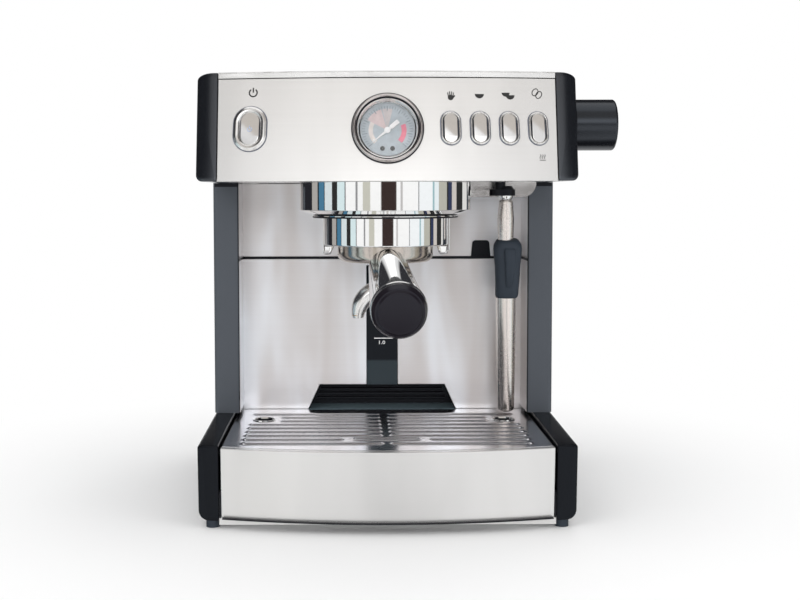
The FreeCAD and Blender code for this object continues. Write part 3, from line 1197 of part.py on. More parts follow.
def make_boilers():
    top = DECK_TOP + BOILER_HEIGHT
    brew = turned([
        (0, DECK_TOP), (BOILER_RADIUS, DECK_TOP), (BOILER_RADIUS, top - 6), (BOILER_RADIUS - 6, top), (8, top),
        (8, top + 6), (0, top + 6),
    ], 0, GROUP_Y)
    save("brew_boiler", brew)
    x0 = BOILER_RADIUS + STEAM_BOILER_GAP
    x1 = x0 + STEAM_BOILER_LENGTH
    y0 = GROUP_Y + STEAM_BOILER_SETBACK
    y1 = y0 + STEAM_BOILER_DEPTH
    roof = DECK_TOP + STEAM_BOILER_HEIGHT
    pieces = [box(x0, x1, y0, y1, DECK_TOP, roof)]
    for share in (0.22, 0.78):
        x = x0 + share * STEAM_BOILER_LENGTH
        pieces.append(rod(PORT_RADIUS, vec(x, (y0 + y1) / 2, roof - 1), vec(x, (y0 + y1) / 2, roof + PORT_HEIGHT)))
    save("steam_boiler", joined(pieces))


def make_pump_and_valve():
    """Pump on the right of the tank and solenoid valve on its left, both standing on the shelf."""
    y = (TANK_FRONT + TANK_REAR) / 2
    base = SHELF_TOP
    waist = PUMP_RADIUS * 0.75
    head = PUMP_RADIUS * 0.95
    outlet = PUMP_RADIUS * 0.3
    profile = [(0, 0), (PUMP_RADIUS, 0), (PUMP_RADIUS, 0.15), (waist, 0.19), (waist, 0.67), (head, 0.69),
               (head, 0.81), (outlet, 0.83), (outlet, 1), (0, 1)]
    body = turned([(radius, base + share * PUMP_LENGTH) for radius, share in profile], PUMP_X, y)
    coil = box(PUMP_X - PUMP_RADIUS, PUMP_X + PUMP_RADIUS, y - PUMP_RADIUS, y + PUMP_RADIUS,
               base + 0.25 * PUMP_LENGTH, base + 0.6 * PUMP_LENGTH)
    save("pump", joined([body, coil]))

    x = -PUMP_X
    block_top = base + 0.23 * PUMP_LENGTH
    coil_top = base + 0.6 * PUMP_LENGTH
    block = box(x - waist, x + waist, y - waist, y + waist, base, block_top)
    coil = rod(PUMP_RADIUS * 0.9, vec(x, y, block_top - 1), vec(x, y, coil_top))
    nozzle = rod(outlet * 0.7, vec(x, y, coil_top - 1), vec(x, y, base + 0.75 * PUMP_LENGTH))
    save("solenoid_valve", joined([block, coil, nozzle]))


def make_control_board():
    """Upright board on the left side wall, with a relay and a transformer."""
    outer = -COLUMN_WALL_IN + SHEET
    front = SPLASH_BACK + POST_WIDTH / 2
    rear = REAR_Y - SHEET - POST_WIDTH / 2
    low = SHELF_TOP + BOARD_LIFT
    pieces = [box(outer, outer + SHEET, front, rear, low, low + BOARD_HEIGHT)]
    for thickness, start, end, foot, head in ((0.7, 0.15, 0.4, 0.55, 0.83), (1.0, 0.47, 0.78, 0.13, 0.49)):
        pieces.append(box(
            outer + SHEET / 2, outer + thickness * BOARD_PARTS,
            front + start * (rear - front), front + end * (rear - front),
            low + foot * BOARD_HEIGHT, low + head * BOARD_HEIGHT,
        ))
    save("control_board", joined(pieces))


os.makedirs("parts", exist_ok=True)
make_feet()
make_base_cheeks()
make_side_panels()
make_head_cheeks()
make_base_pan()
make_corner_posts()
make_tank_shelf()
make_rear_panel()
make_mains_inlet()
make_casing_screws()
make_top_cover()
make_head_deck()
make_front_fascia()
make_splash_panels()
make_level_window()
make_splash_insert()
make_buttons()
make_switch_bank()
make_gauge()
make_group()
make_portafilter()
make_wand()
make_wand_socket()
make_wand_bracket()
make_steam_valve()
make_steam_knob()
make_drip_tray()
make_water_tank()
make_boilers()
make_pump_and_valve()
make_control_board()
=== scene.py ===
"""Espresso machine: finished surfaces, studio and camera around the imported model.

Lengths inside the shape functions are millimetres and become metres when a mesh is made. Every place
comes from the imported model's boxes and joints, or from the sizes in the property groups.
"""
import json
import math

import bmesh
import bpy
import numpy as np
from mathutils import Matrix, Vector


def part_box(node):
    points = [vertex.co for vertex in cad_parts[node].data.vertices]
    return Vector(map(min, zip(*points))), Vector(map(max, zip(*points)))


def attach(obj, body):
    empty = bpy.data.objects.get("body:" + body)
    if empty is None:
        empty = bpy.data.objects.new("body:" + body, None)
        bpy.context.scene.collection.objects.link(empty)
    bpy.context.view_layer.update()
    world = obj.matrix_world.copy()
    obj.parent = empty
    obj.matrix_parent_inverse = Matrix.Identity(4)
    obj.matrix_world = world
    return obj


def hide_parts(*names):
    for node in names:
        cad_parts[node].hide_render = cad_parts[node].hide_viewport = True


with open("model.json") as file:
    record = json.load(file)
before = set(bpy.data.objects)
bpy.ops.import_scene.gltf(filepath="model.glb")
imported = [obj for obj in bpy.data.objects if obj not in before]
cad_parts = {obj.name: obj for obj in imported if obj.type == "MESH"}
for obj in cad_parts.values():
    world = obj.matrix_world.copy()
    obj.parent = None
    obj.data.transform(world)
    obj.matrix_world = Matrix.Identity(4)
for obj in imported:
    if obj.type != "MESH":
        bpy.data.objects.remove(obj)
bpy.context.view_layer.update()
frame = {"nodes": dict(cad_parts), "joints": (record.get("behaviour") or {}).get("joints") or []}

bl_info = {
    "name": "Espresso Machine Finish",
    "version": (1, 0, 0),
    "blender": (4, 5, 0),
    "location": "View3D > Sidebar > Espresso",
    "description": "Builds the finished surfaces of the espresso machine on its packed model",
    "category": "Object",
}

MM = 0.001
WATER_LEVEL = 114.5
TRAY_BOW = 16.7
HANDLE_TURN = math.radians(1.5)
HANDLE_SLOPE = math.radians(9.3)
BUTTONS = ("power_button", "manual_button", "single_button", "double_button", "hot_water_button")
POWER_RING = (28.1, 37.7)
POWER_CAP = (15.4, 27.0)
SMALL_RING = (16.8, 28.2)
SMALL_CAP = (11.0, 24.0)
CAP_SLANT = (0.51, 0.86)
NODES = frame["nodes"]
JOINTS = {joint["name"]: joint for joint in frame["joints"]}


# ------------------------------------------------------------------ sizes and colours
def colour(name, default, description):
    """Declaration of one colour."""
    return bpy.props.FloatVectorProperty(name=name, description=description, subtype="COLOR", size=3,
                                         min=0.0, max=1.0, default=default)


def millimetres(name, default, description):
    """Declaration of one length in millimetres."""
    return bpy.props.FloatProperty(name=name, description=description, default=default, min=0.0)


class MachineColours(bpy.types.PropertyGroup):
    steel: colour("Brushed steel", (0.83, 0.825, 0.815), "Skins of the casing")
    chrome: colour("Chrome", (0.93, 0.93, 0.925), "Group, handle and spout")
    nickel: colour("Satin nickel", (0.60, 0.545, 0.495), "Portafilter body")
    wand_steel: colour("Wand steel", (0.86, 0.80, 0.76), "Tube and sleeve of the steam wand")
    cheek: colour("Cheek plastic", (0.004, 0.0045, 0.006), "Side cheeks of base and head, steam knob")
    column: colour("Column plastic", (0.060, 0.066, 0.076), "Columns and side panels")
    black: colour("Black plastic", (0.007, 0.0065, 0.008), "Handle cap, socket, recess")
    rubber: colour("Soft rubber", (0.022, 0.029, 0.039), "Wand grip")
    window: colour("Smoked window", (0.004, 0.006, 0.010), "Level window above the water")
    water: colour("Water line", (0.030, 0.042, 0.050), "Level window below the water")
    dial: colour("Dial", (0.44, 0.49, 0.53), "Gauge dial")
    dial_red: colour("Red zone", (0.80, 0.22, 0.30), "Over-pressure arc on the dial")
    dial_cream: colour("Cream zone", (0.72, 0.66, 0.63), "Brewing arc on the dial")
    ink: colour("Ink", (0.015, 0.015, 0.015), "Printed symbols")
    cap: colour("Button metal", (0.90, 0.89, 0.88), "Push caps and their rings")
    panel_steel: colour("Panel steel", (0.92, 0.94, 0.98), "Splash panels")
    grid_steel: colour("Grid steel", (0.96, 0.95, 0.98), "Drip grid")
    gauge_rim: colour("Gauge rim", (0.62, 0.58, 0.57), "Broad band round the gauge")
    handle_cap: colour("Handle cap", (0.010, 0.008, 0.011), "End of the portafilter's handle")
    recess: colour("Recess floor", (0.13, 0.18, 0.205), "Floor of the cup recess")
    # Painted shade: dark colour of the button seams and grooves, standing for the shadow lines round rings
    # and caps.
    seam: colour("Seam line", (0.10, 0.11, 0.14), "Seals and grooves of the buttons")
    ticks: colour("Tick marks", (0.20, 0.25, 0.29), "Marks on the dial")
    sign: colour("Power sign", (0.30, 0.36, 0.50), "Sign on the power cap")
    rose: colour("Rose zone", (0.66, 0.54, 0.54), "Left fan on the dial")
    umber: colour("Umber zone", (0.58, 0.53, 0.53), "Right fan on the dial")
    white: colour("White", (0.90, 0.90, 0.90), "Needle and level mark")
    glass: colour("Glass", (1.0, 1.0, 1.0), "Pane of the gauge")
    tank: colour("Tank plastic", (0.62, 0.66, 0.70), "Water tank")
    copper: colour("Copper tint", (0.75, 0.58, 0.44), "Inside of the spout's tips")
    brass: colour("Brass", (0.72, 0.53, 0.25), "Brew boiler and valves")
    aluminium: colour("Cast aluminium", (0.50, 0.50, 0.50), "Steam boiler")
    board: colour("Board laminate", (0.03, 0.12, 0.05), "Control board")


class MachineSizes(bpy.types.PropertyGroup):
    ring_rise: millimetres("Ring rise", 2.2, "Height of the button rings over the fascia")
    cap_rise: millimetres("Cap rise", 1.4, "Height of the push caps over the fascia")
    cap_crown: millimetres("Cap crown", 0.4, "Bulge of a push cap at its middle")
    bezel_rise: millimetres("Bezel rise", 3.6, "Height of the gauge bezel over the fascia")
    print_rise: millimetres("Print rise", 0.05, "Thickness of printed symbols")
    rib_rise: millimetres("Rib rise", 1.5, "Height of the pressed ribs of the drip grid")
    rib_spread: millimetres("Rib spread", 3.5, "Half width of a rib at its foot")


# ------------------------------------------------------------------ numbers and frames
def unit(vector):
    """The vector at length 1."""
    vector = np.asarray(vector, float)
    return vector / np.linalg.norm(vector)


def box_mm(node):
    """Lowest and highest corner of a node in millimetres."""
    low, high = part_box(node)
    return np.array(low) / MM, np.array(high) / MM


def to_frame(points, origin, axes):
    """Local points carried to the machine: origin + x X + y Y + z Z for the three axis rows."""
    return np.asarray(points, float) @ np.asarray(axes) + np.asarray(origin, float)


def rotation(angle):
    """Matrix that turns row vectors about Z when it stands after them."""
    sine = math.sin(angle)
    cosine = math.cos(angle)
    return np.array([[cosine, sine, 0], [-sine, cosine, 0], [0, 0, 1]])


def outward_axes(inward):
    """Rows X (level, to the right), Y (up the surface) and Z (outward) for an inward direction."""
    z = -unit(inward)
    x = unit(np.cross((0.0, 0.0, 1.0), z))
    return np.array([x, np.cross(z, x), z])


GROUP_AT = np.array(JOINTS["portafilter_turn"]["pos_m"]) / MM
GROUP_AXIS = GROUP_AT * (1, 1, 0)
MIDDLE_X = GROUP_AT[0]
FASCIA_LOW = box_mm("front_fascia")[0]
CHEEK_LOW, CHEEK_HIGH = box_mm("head_cheek_right")
FASCIA_HALF = CHEEK_LOW[0] - MIDDLE_X
FASCIA_CORNER = CHEEK_LOW[1]
FASCIA_BOW = FASCIA_CORNER - FASCIA_LOW[1]
FASCIA_RADIUS = (FASCIA_HALF ** 2 + FASCIA_BOW ** 2) / (2 * FASCIA_BOW)
GAUGE_IN = np.array(JOINTS["gauge_needle_swing"]["axis"])
GAUGE_AT = np.array(JOINTS["gauge_needle_swing"]["pos_m"]) / MM
FASCIA_SLOPE = -GAUGE_IN[2] / GAUGE_IN[1]


def fascia_point(x, z):
    """Point of the fascia's face: an arc of FASCIA_RADIUS in plan, leaning back with height."""
    y = FASCIA_CORNER + FASCIA_RADIUS - FASCIA_BOW - np.sqrt(FASCIA_RADIUS ** 2 - np.square(x))
    return np.stack([x + MIDDLE_X, y + (z - FASCIA_LOW[2]) * FASCIA_SLOPE, z], axis=-1)


def fascia_place(joint):
    """Origin on the fascia and local axes for a push button, from the direction it slides in."""
    inward = np.array(JOINTS[joint]["axis"])
    x = -FASCIA_RADIUS * inward[0] / math.hypot(inward[0], inward[1])
    return fascia_point(np.float64(x), GAUGE_AT[2]), outward_axes(inward)


# ------------------------------------------------------------------ surfaces
def grid(points, wrap_u=False, wrap_v=False, keep=None):
    """Vertices and quads of a (u, v, 3) array of points, closed along u or v where asked."""
    nu, nv = points.shape[:2]
    index = np.arange(nu * nv).reshape(nu, nv)
    if wrap_u:
        index = np.concatenate([index, index[:1]], axis=0)
    if wrap_v:
        index = np.concatenate([index, index[:, :1]], axis=1)
    quads = np.stack([index[:-1, :-1], index[1:, :-1], index[1:, 1:], index[:-1, 1:]], axis=-1)
    quads = quads[keep] if keep is not None else quads.reshape(-1, 4)
    return points.reshape(-1, 3), quads


def rounded(corners, steps=5, support=0.12):
    """Profile through corners (a, b, radius): straight runs joined by arcs tangent to both runs, with a
    support point beside each end of an arc so that flats stay flat."""
    points = np.array([corner[:2] for corner in corners], float)
    out = [points[:1]]
    for here, before, after, corner in zip(points[1:-1], points[:-2], points[2:], corners[1:-1]):
        radius = corner[2] if len(corner) > 2 else 0.0
        if radius <= 0.0:
            out.append(here[None])
            continue
        a = unit(before - here)
        b = unit(after - here)
        half = math.acos(max(-1.0, min(1.0, float(a @ b)))) / 2
        reach = radius / math.tan(half)
        centre = here + unit(a + b) * radius / math.sin(half)
        start = here + a * reach - centre
        end = here + b * reach - centre
        sweep = math.pi - 2 * half
        t = np.linspace(0, 1, steps + 1)[:, None]
        arc = (start * np.sin((1 - t) * sweep) + end * np.sin(t * sweep)) / math.sin(sweep) + centre
        edge = support * min(1.0, radius)
        out.append(np.concatenate([arc[:1] + a * edge, arc, arc[-1:] + b * edge]))
    out.append(points[-1:])
    return np.concatenate(out)


def turned(profile, origin, axes=np.eye(3), steps=128, closed=False):
    """Surface of revolution in a frame: (r, z) goes to (r cos t, r sin t, z) for t over a full turn."""
    turn = np.linspace(0, 2 * np.pi, steps, endpoint=False)
    radius = profile[:, :1]
    points = np.stack([radius * np.cos(turn), radius * np.sin(turn), profile[:, 1:2] + 0 * turn], axis=-1)
    return grid(to_frame(points, origin, axes), wrap_u=closed, wrap_v=True)


def pill_loft(width, height, profile, origin, axes, steps=24):
    """Skin between stadium outlines: the outline of width and height is moved inwards by profile[:, 0]
    and raised to profile[:, 1]."""
    turn = np.concatenate([np.linspace(0, np.pi, steps), np.linspace(np.pi, 2 * np.pi, steps)])
    middle = np.repeat([(height - width) / 2, -(height - width) / 2], steps)
    radius = np.maximum(width / 2 - profile[:, :1], 0.0)
    up = middle + radius * np.sin(turn)
    points = np.stack([radius * np.cos(turn), up, profile[:, 1:2] + 0 * turn], axis=-1)
    return grid(to_frame(points, origin, axes), wrap_v=True)


def carried(section, ends):
    """Skin through the same (y, z) section at each x in ends."""
    return grid(np.stack([np.column_stack([np.full(len(section), x), section]) for x in ends]))


def directions(path):
    """Unit vector along a path at each of its points."""
    along = np.gradient(path, axis=0)
    return along / np.linalg.norm(along, axis=1)[:, None]


def ribbon(path, width):
    """Flat band of one width along a line in the plane: path plus and minus half the width across it."""
    path = np.asarray(path, float)
    along = directions(path)
    across = np.stack([-along[:, 1], along[:, 0]], axis=1) * width / 2
    return np.stack([path - across, path + across], axis=1)


def arc_path(radius, start, end, centre=(0.0, 0.0), steps=24):
    """Points of a circular arc, angles in degrees."""
    turn = np.radians(np.linspace(start, end, steps))
    return np.stack([centre[0] + radius * np.cos(turn), centre[1] + radius * np.sin(turn)], axis=1)


def fan(outline):
    """Flat shape from its outline: each point joined to the middle, and the last point to the first."""
    outline = np.asarray(outline, float)
    outline = np.concatenate([outline, outline[:1]])
    return np.stack([outline[:-1].mean(0) + 0 * outline, outline], axis=1)


def ellipse_corner(x, z, rx, rz, start, steps=8):
    """Quarter of an ellipse about (x, z), from the angle start in degrees."""
    turn = np.radians(np.linspace(start, start + 90, steps))
    return np.stack([x + rx * np.cos(turn), z + rz * np.sin(turn)], axis=1)


def rounded_section(x0, x1, z0, z1, low, high, inner=0.8):
    """Closed outline of a cheek in front view, inner side x0 and outer side x1: the outer corners are
    ellipses of the radii low and high, the inner corners small circles."""
    return np.concatenate([
        ellipse_corner(x1 - low[0], z0 + low[1], low[0], low[1], 270),
        ellipse_corner(x1 - high[0], z1 - high[1], high[0], high[1], 0),
        ellipse_corner(x0 + inner, z1 - inner, inner, inner, 90),
        ellipse_corner(x0 + inner, z0 + inner, inner, inner, 180)])


def tube(path, radii, sideways, steps=24):
    """Round skin along a plane path: at each point a circle of its radius, spanned by the path's normal
    and the direction sideways; the ends are closed."""
    path = np.asarray(path, float)
    sideways = unit(sideways)
    normal = np.cross(directions(path), sideways)
    turn = np.linspace(0, 2 * np.pi, steps, endpoint=False)
    radii = np.asarray(radii, float)[:, None, None]
    ring = normal[:, None] * np.cos(turn)[None, :, None] + sideways * np.sin(turn)[None, :, None]
    points = path[:, None] + radii * ring
    points = np.concatenate([path[:1, None] + 0 * points[:1], points, path[-1:, None] + 0 * points[-1:]])
    return grid(points, wrap_v=True)


# ------------------------------------------------------------------ pieces
def piece(name, surfaces, shade, body, replaces=(), facing=None, sharp=35.0):
    """One mesh object from a list of (vertices, quads), merged, facing outwards, riding on a body. Shade
    is the name of its finish."""
    offset = 0
    vertices = []
    faces = []
    for points, quads in surfaces:
        vertices.append(points)
        faces.append(quads + offset)
        offset += len(points)
    mesh = bpy.data.meshes.new(name)
    mesh.from_pydata((np.concatenate(vertices) * MM).tolist(), [], np.concatenate(faces).tolist())
    shape = bmesh.new()
    shape.from_mesh(mesh)
    bmesh.ops.remove_doubles(shape, verts=shape.verts, dist=2e-7)
    if facing is None:
        bmesh.ops.recalc_face_normals(shape, faces=shape.faces)
    else:
        back = [face for face in shape.faces if face.normal.dot(Vector(facing)) < 0]
        bmesh.ops.reverse_faces(shape, faces=back)
    shape.to_mesh(mesh)
    shape.free()
    mesh.polygons.foreach_set("use_smooth", np.ones(len(mesh.polygons), bool))
    mesh.set_sharp_from_angle(angle=math.radians(sharp))
    thing = bpy.data.objects.new(name, mesh)
    bpy.context.scene.collection.objects.link(thing)
    mesh.materials.append(finish(shade))
    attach(thing, body)
    if replaces:
        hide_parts(*replaces)
    return thing


def softened(node, width, shade, body="chassis", angle=35.0):
    """Copy of a CAD node with its facets joined and its sharp edges rounded, in the node's stead."""
    mesh = NODES[node].data.copy()
    mesh.name = node + "_soft"
    for name in [entry.name for entry in mesh.attributes if entry.name == "custom_normal"]:
        mesh.attributes.remove(mesh.attributes[name])
    shape = bmesh.new()
    shape.from_mesh(mesh)
    bmesh.ops.remove_doubles(shape, verts=shape.verts, dist=2e-6)
    bmesh.ops.dissolve_limit(shape, angle_limit=math.radians(0.4), verts=shape.verts, edges=shape.edges)
    shape.to_mesh(mesh)
    shape.free()
    mesh.materials.clear()
    mesh.materials.append(finish(shade))
    mesh.polygons.foreach_set("use_smooth", np.ones(len(mesh.polygons), bool))
    mesh.polygons.foreach_set("material_index", np.zeros(len(mesh.polygons), int))
    mesh.set_sharp_from_angle(angle=math.radians(angle))
    thing = bpy.data.objects.new(node + "_soft", mesh)
    bpy.context.scene.collection.objects.link(thing)
    bevel = thing.modifiers.new("edges", "BEVEL")
    bevel.width = width * MM
    bevel.segments = 3
    bevel.limit_method = "ANGLE"
    bevel.angle_limit = math.radians(angle)
    bevel.harden_normals = True
    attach(thing, body)
    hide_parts(node)
    return thing


def printed(name, shapes, shade, body, place, rise, outward):
    """Thin marks: flat (u, v, 2) shapes carried by place(points, rise) onto a surface."""
    surfaces = [grid(place(shape, rise)) for shape in shapes]
    return piece(name, surfaces, shade, body, facing=outward)


def dress(shade, *nodes):
    """Gives CAD nodes their finished material."""
    for node in nodes:
        slots = NODES[node].data.materials
        slots.clear()
        slots.append(finish(shade))


# ------------------------------------------------------------------ shader groups
def feed(tree, socket, value):
    """Links a socket's value, or sets a plain one."""
    if isinstance(value, bpy.types.NodeSocket):
        tree.links.new(value, socket)
    else:
        socket.default_value = value


def add(tree, kind, *first, **values):
    """New node with its properties, its first inputs in order, and its inputs by name after in_."""
    node = tree.nodes.new(kind)
    for key, value in values.items():
        if key.startswith("in_"):
            feed(tree, node.inputs[key[3:].replace("_", " ")], value)
        else:
            setattr(node, key, value)
    for index, value in enumerate(first):
        feed(tree, node.inputs[index], value)
    return node


def shared_group(name, inputs, fill):
    """Shader group that is filled when first asked for: fill takes the group and its input sockets, and
    returns the sockets to put out. Inputs are floats where their default is one, else vectors."""
    group = bpy.data.node_groups.get(name)
    if group:
        return group
    group = bpy.data.node_groups.new(name, "ShaderNodeTree")
    for label, default in inputs.items():
        kind = "NodeSocketFloat" if isinstance(default, float) else "NodeSocketVector"
        socket = group.interface.new_socket(label, in_out="INPUT", socket_type=kind)
        if default is not None:
            socket.default_value = default
    enter = group.nodes.new("NodeGroupInput")
    leave = group.nodes.new("NodeGroupOutput")
    for label, source in fill(group, enter.outputs).items():
        kind = "NodeSocketVector" if label == "Normal" else "NodeSocketFloat"
        group.interface.new_socket(label, in_out="OUTPUT", socket_type=kind)
        group.links.new(source, leave.inputs[label])
    return group


def grain_group():
    """Fine lines left by a brushing belt: noise stretched along one axis, as mask and as normal."""
    def fill(group, given):
        scaled = add(group, "ShaderNodeVectorMath", given["Vector"], given["Stretch"], operation="MULTIPLY")
        shade_bars = add(group, "ShaderNodeTexNoise", in_Vector=scaled.outputs[0], in_Scale=1.0, in_Detail=4.0,
                    in_Roughness=0.65).outputs["Fac"]
        spread = add(group, "ShaderNodeMapRange", in_Value=shade_bars, in_From_Min=0.3, in_From_Max=0.7)
        bump = add(group, "ShaderNodeBump", in_Distance=0.0002, in_Strength=given["Depth"], in_Height=shade_bars)
        return {"Mask": spread.outputs["Result"], "Normal": bump.outputs["Normal"]}

    return shared_group("Brushed grain", {"Vector": None, "Stretch": (5.0, 5.0, 700.0), "Depth": 0.006}, fill)


def smudge_group():
    """Faint handling marks: broad soft noise crossed with a finer one."""
    def fill(group, given):
        broad = add(group, "ShaderNodeTexNoise", in_Vector=given["Vector"], in_Scale=given["Scale"],
                    in_Detail=2.0, in_Roughness=0.5, in_Distortion=0.6)
        fine = add(group, "ShaderNodeTexNoise", in_Vector=given["Vector"], in_Scale=240.0, in_Detail=3.0,
                   in_Roughness=0.6)
        crossed = add(group, "ShaderNodeMath", broad.outputs["Fac"], fine.outputs["Fac"],
                      operation="MULTIPLY")
        spread = add(group, "ShaderNodeMapRange", in_Value=crossed.outputs[0], in_From_Min=0.15,
                     in_From_Max=0.42)
        return {"Mask": spread.outputs["Result"]}

    return shared_group("Handling marks", {"Vector": None, "Scale": 22.0}, fill)


def streak_group():
    """Slow upright smears on a sheet: broad noise drawn out in height."""
    def fill(group, given):
        scaled = add(group, "ShaderNodeVectorMath", given["Vector"], given["Stretch"], operation="MULTIPLY")
        cloud = add(group, "ShaderNodeTexNoise", in_Vector=scaled.outputs[0], in_Scale=1.0, in_Detail=2.0,
                    in_Roughness=0.45, in_Distortion=0.4)
        spread = add(group, "ShaderNodeMapRange", in_Value=cloud.outputs["Fac"], in_From_Min=0.3,
                     in_From_Max=0.7, interpolation_type="SMOOTHSTEP")
        return {"Mask": spread.outputs["Result"]}

    return shared_group("Upright smears", {"Vector": None, "Stretch": (26.0, 26.0, 5.0)}, fill)


def moulding_group():
    """Spark-eroded texture of moulded plastic: small cells as normal, and soft noise as mask."""
    def fill(group, given):
        cells = add(group, "ShaderNodeTexVoronoi", in_Vector=given["Vector"], in_Scale=given["Scale"])
        cloud = add(group, "ShaderNodeTexNoise", in_Vector=given["Vector"], in_Scale=60.0, in_Detail=5.0,
                    in_Roughness=0.6)
        bump = add(group, "ShaderNodeBump", in_Distance=0.0001, in_Strength=given["Depth"],
                   in_Height=cells.outputs["Distance"])
        return {"Mask": cloud.outputs["Fac"], "Normal": bump.outputs["Normal"]}

    return shared_group("Moulded texture", {"Vector": None, "Scale": 1400.0, "Depth": 0.15}, fill)


# ------------------------------------------------------------------ materials
def start_material(name, **values):
    """Material with a Principled shader whose sockets take the given values."""
    material = bpy.data.materials.new(name)
    material.use_nodes = True
    tree = material.node_tree
    shader = tree.nodes["Principled BSDF"]
    for key, value in values.items():
        shader.inputs[key.replace("_", " ")].default_value = value
    place = tree.nodes.new("ShaderNodeTexCoord")
    return material, tree, shader, place.outputs["Object"]


def use_group(tree, group, vector, **values):
    """Outputs of a shader group placed in a material, on a vector and with its own values."""
    node = tree.nodes.new("ShaderNodeGroup")
    node.node_tree = group
    tree.links.new(vector, node.inputs["Vector"])
    for key, value in values.items():
        node.inputs[key].default_value = value
    return node.outputs


def vary(tree, mask, low, high, socket):
    """Links a value that runs from low to high with the mask."""
    spread = add(tree, "ShaderNodeMapRange", in_Value=mask, in_To_Min=low, in_To_Max=high)
    tree.links.new(spread.outputs["Result"], socket)


def tint(tree, mask, dark, light, socket):
    """Links a colour that runs from dark to light with the mask."""
    mix = add(tree, "ShaderNodeMix", data_type="RGBA", in_Factor=mask, in_A=(*dark, 1.0), in_B=(*light, 1.0))
    tree.links.new(mix.outputs["Result"], socket)


def scaled_colour(base, factor):
    """Colour times a factor, no channel above 1."""
    return tuple(min(1.0, channel * factor) for channel in base)


def make_brushed(name, base, low, high, stretch=(5.0, 5.0, 700.0), depth=0.006, dull=None, fine=0.35):
    """Brushed metal: belt lines in colour, roughness and normal, with slow smears over them. Fine is the
    share of the lines in the colour, which runs from dull to a little over the base."""
    material, tree, shader, place = start_material(name, Metallic=0.72)
    grain = use_group(tree, grain_group(), place, Stretch=stretch, Depth=depth)
    smears = use_group(tree, streak_group(), place)
    both = add(tree, "ShaderNodeMix", in_Factor=fine, in_A=smears["Mask"], in_B=grain["Mask"])
    dull = dull or scaled_colour(base, 0.95)
    tint(tree, both.outputs["Result"], dull, scaled_colour(base, 1.02), shader.inputs["Base Color"])
    vary(tree, grain["Mask"], low, high, shader.inputs["Roughness"])
    tree.links.new(grain["Normal"], shader.inputs["Normal"])
    return material


def make_polished(name, base, low, high, scale=22.0):
    """Polished metal with faint handling marks."""
    material, tree, shader, place = start_material(name, Metallic=1.0)
    marks = use_group(tree, smudge_group(), place, Scale=scale)
    tint(tree, marks["Mask"], base, scaled_colour(base, 0.96), shader.inputs["Base Color"])
    vary(tree, marks["Mask"], low, high, shader.inputs["Roughness"])
    return material


def make_plastic(name, base, low, high, scale=1400.0, depth=0.15, coat=0.0, gleam=0.5):
    """Moulded plastic: fine texture, with a slow change of tone and a cool gleam."""
    material, tree, shader, place = start_material(
        name, Coat_Weight=coat, Coat_Roughness=0.2, Specular_IOR_Level=gleam,
        Specular_Tint=(0.80, 0.88, 1.0, 1.0))
    texture = use_group(tree, moulding_group(), place, Scale=scale, Depth=depth)
    dark = scaled_colour(base, 0.96)
    tint(tree, texture["Mask"], dark, scaled_colour(base, 1.04), shader.inputs["Base Color"])
    vary(tree, texture["Mask"], low, high, shader.inputs["Roughness"])
    tree.links.new(texture["Normal"], shader.inputs["Normal"])
    return material


def make_ink(name, base, roughness):
    """Printed ink, slightly uneven."""
    material, tree, shader, place = start_material(name)
    marks = use_group(tree, smudge_group(), place, Scale=90.0)
    tint(tree, marks["Mask"], base, scaled_colour(base, 1.2), shader.inputs["Base Color"])
    vary(tree, marks["Mask"], roughness, roughness + 0.1, shader.inputs["Roughness"])
    return material


def make_window(name, above):
    """Smoked window: dark, and paler below the level of the water behind it."""
    below = bpy.context.scene.espresso_colours.water
    material, tree, shader, place = start_material(name, Specular_IOR_Level=0.15)
    marks = use_group(tree, smudge_group(), place, Scale=60.0)
    vary(tree, marks["Mask"], 0.06, 0.12, shader.inputs["Roughness"])
    height = add(tree, "ShaderNodeSeparateXYZ", place).outputs["Z"]
    level = add(tree, "ShaderNodeMapRange", in_Value=height, in_From_Min=(WATER_LEVEL + 1) * MM,
                in_From_Max=(WATER_LEVEL - 1) * MM)
    tint(tree, level.outputs["Result"], above, below, shader.inputs["Base Color"])
    return material


def make_clear(name, base, roughness):
    """Clear sheet that shows what is behind it."""
    return start_material(name, Transmission_Weight=1.0, IOR=1.45, Roughness=roughness,
                          Base_Color=(*base, 1.0))[0]


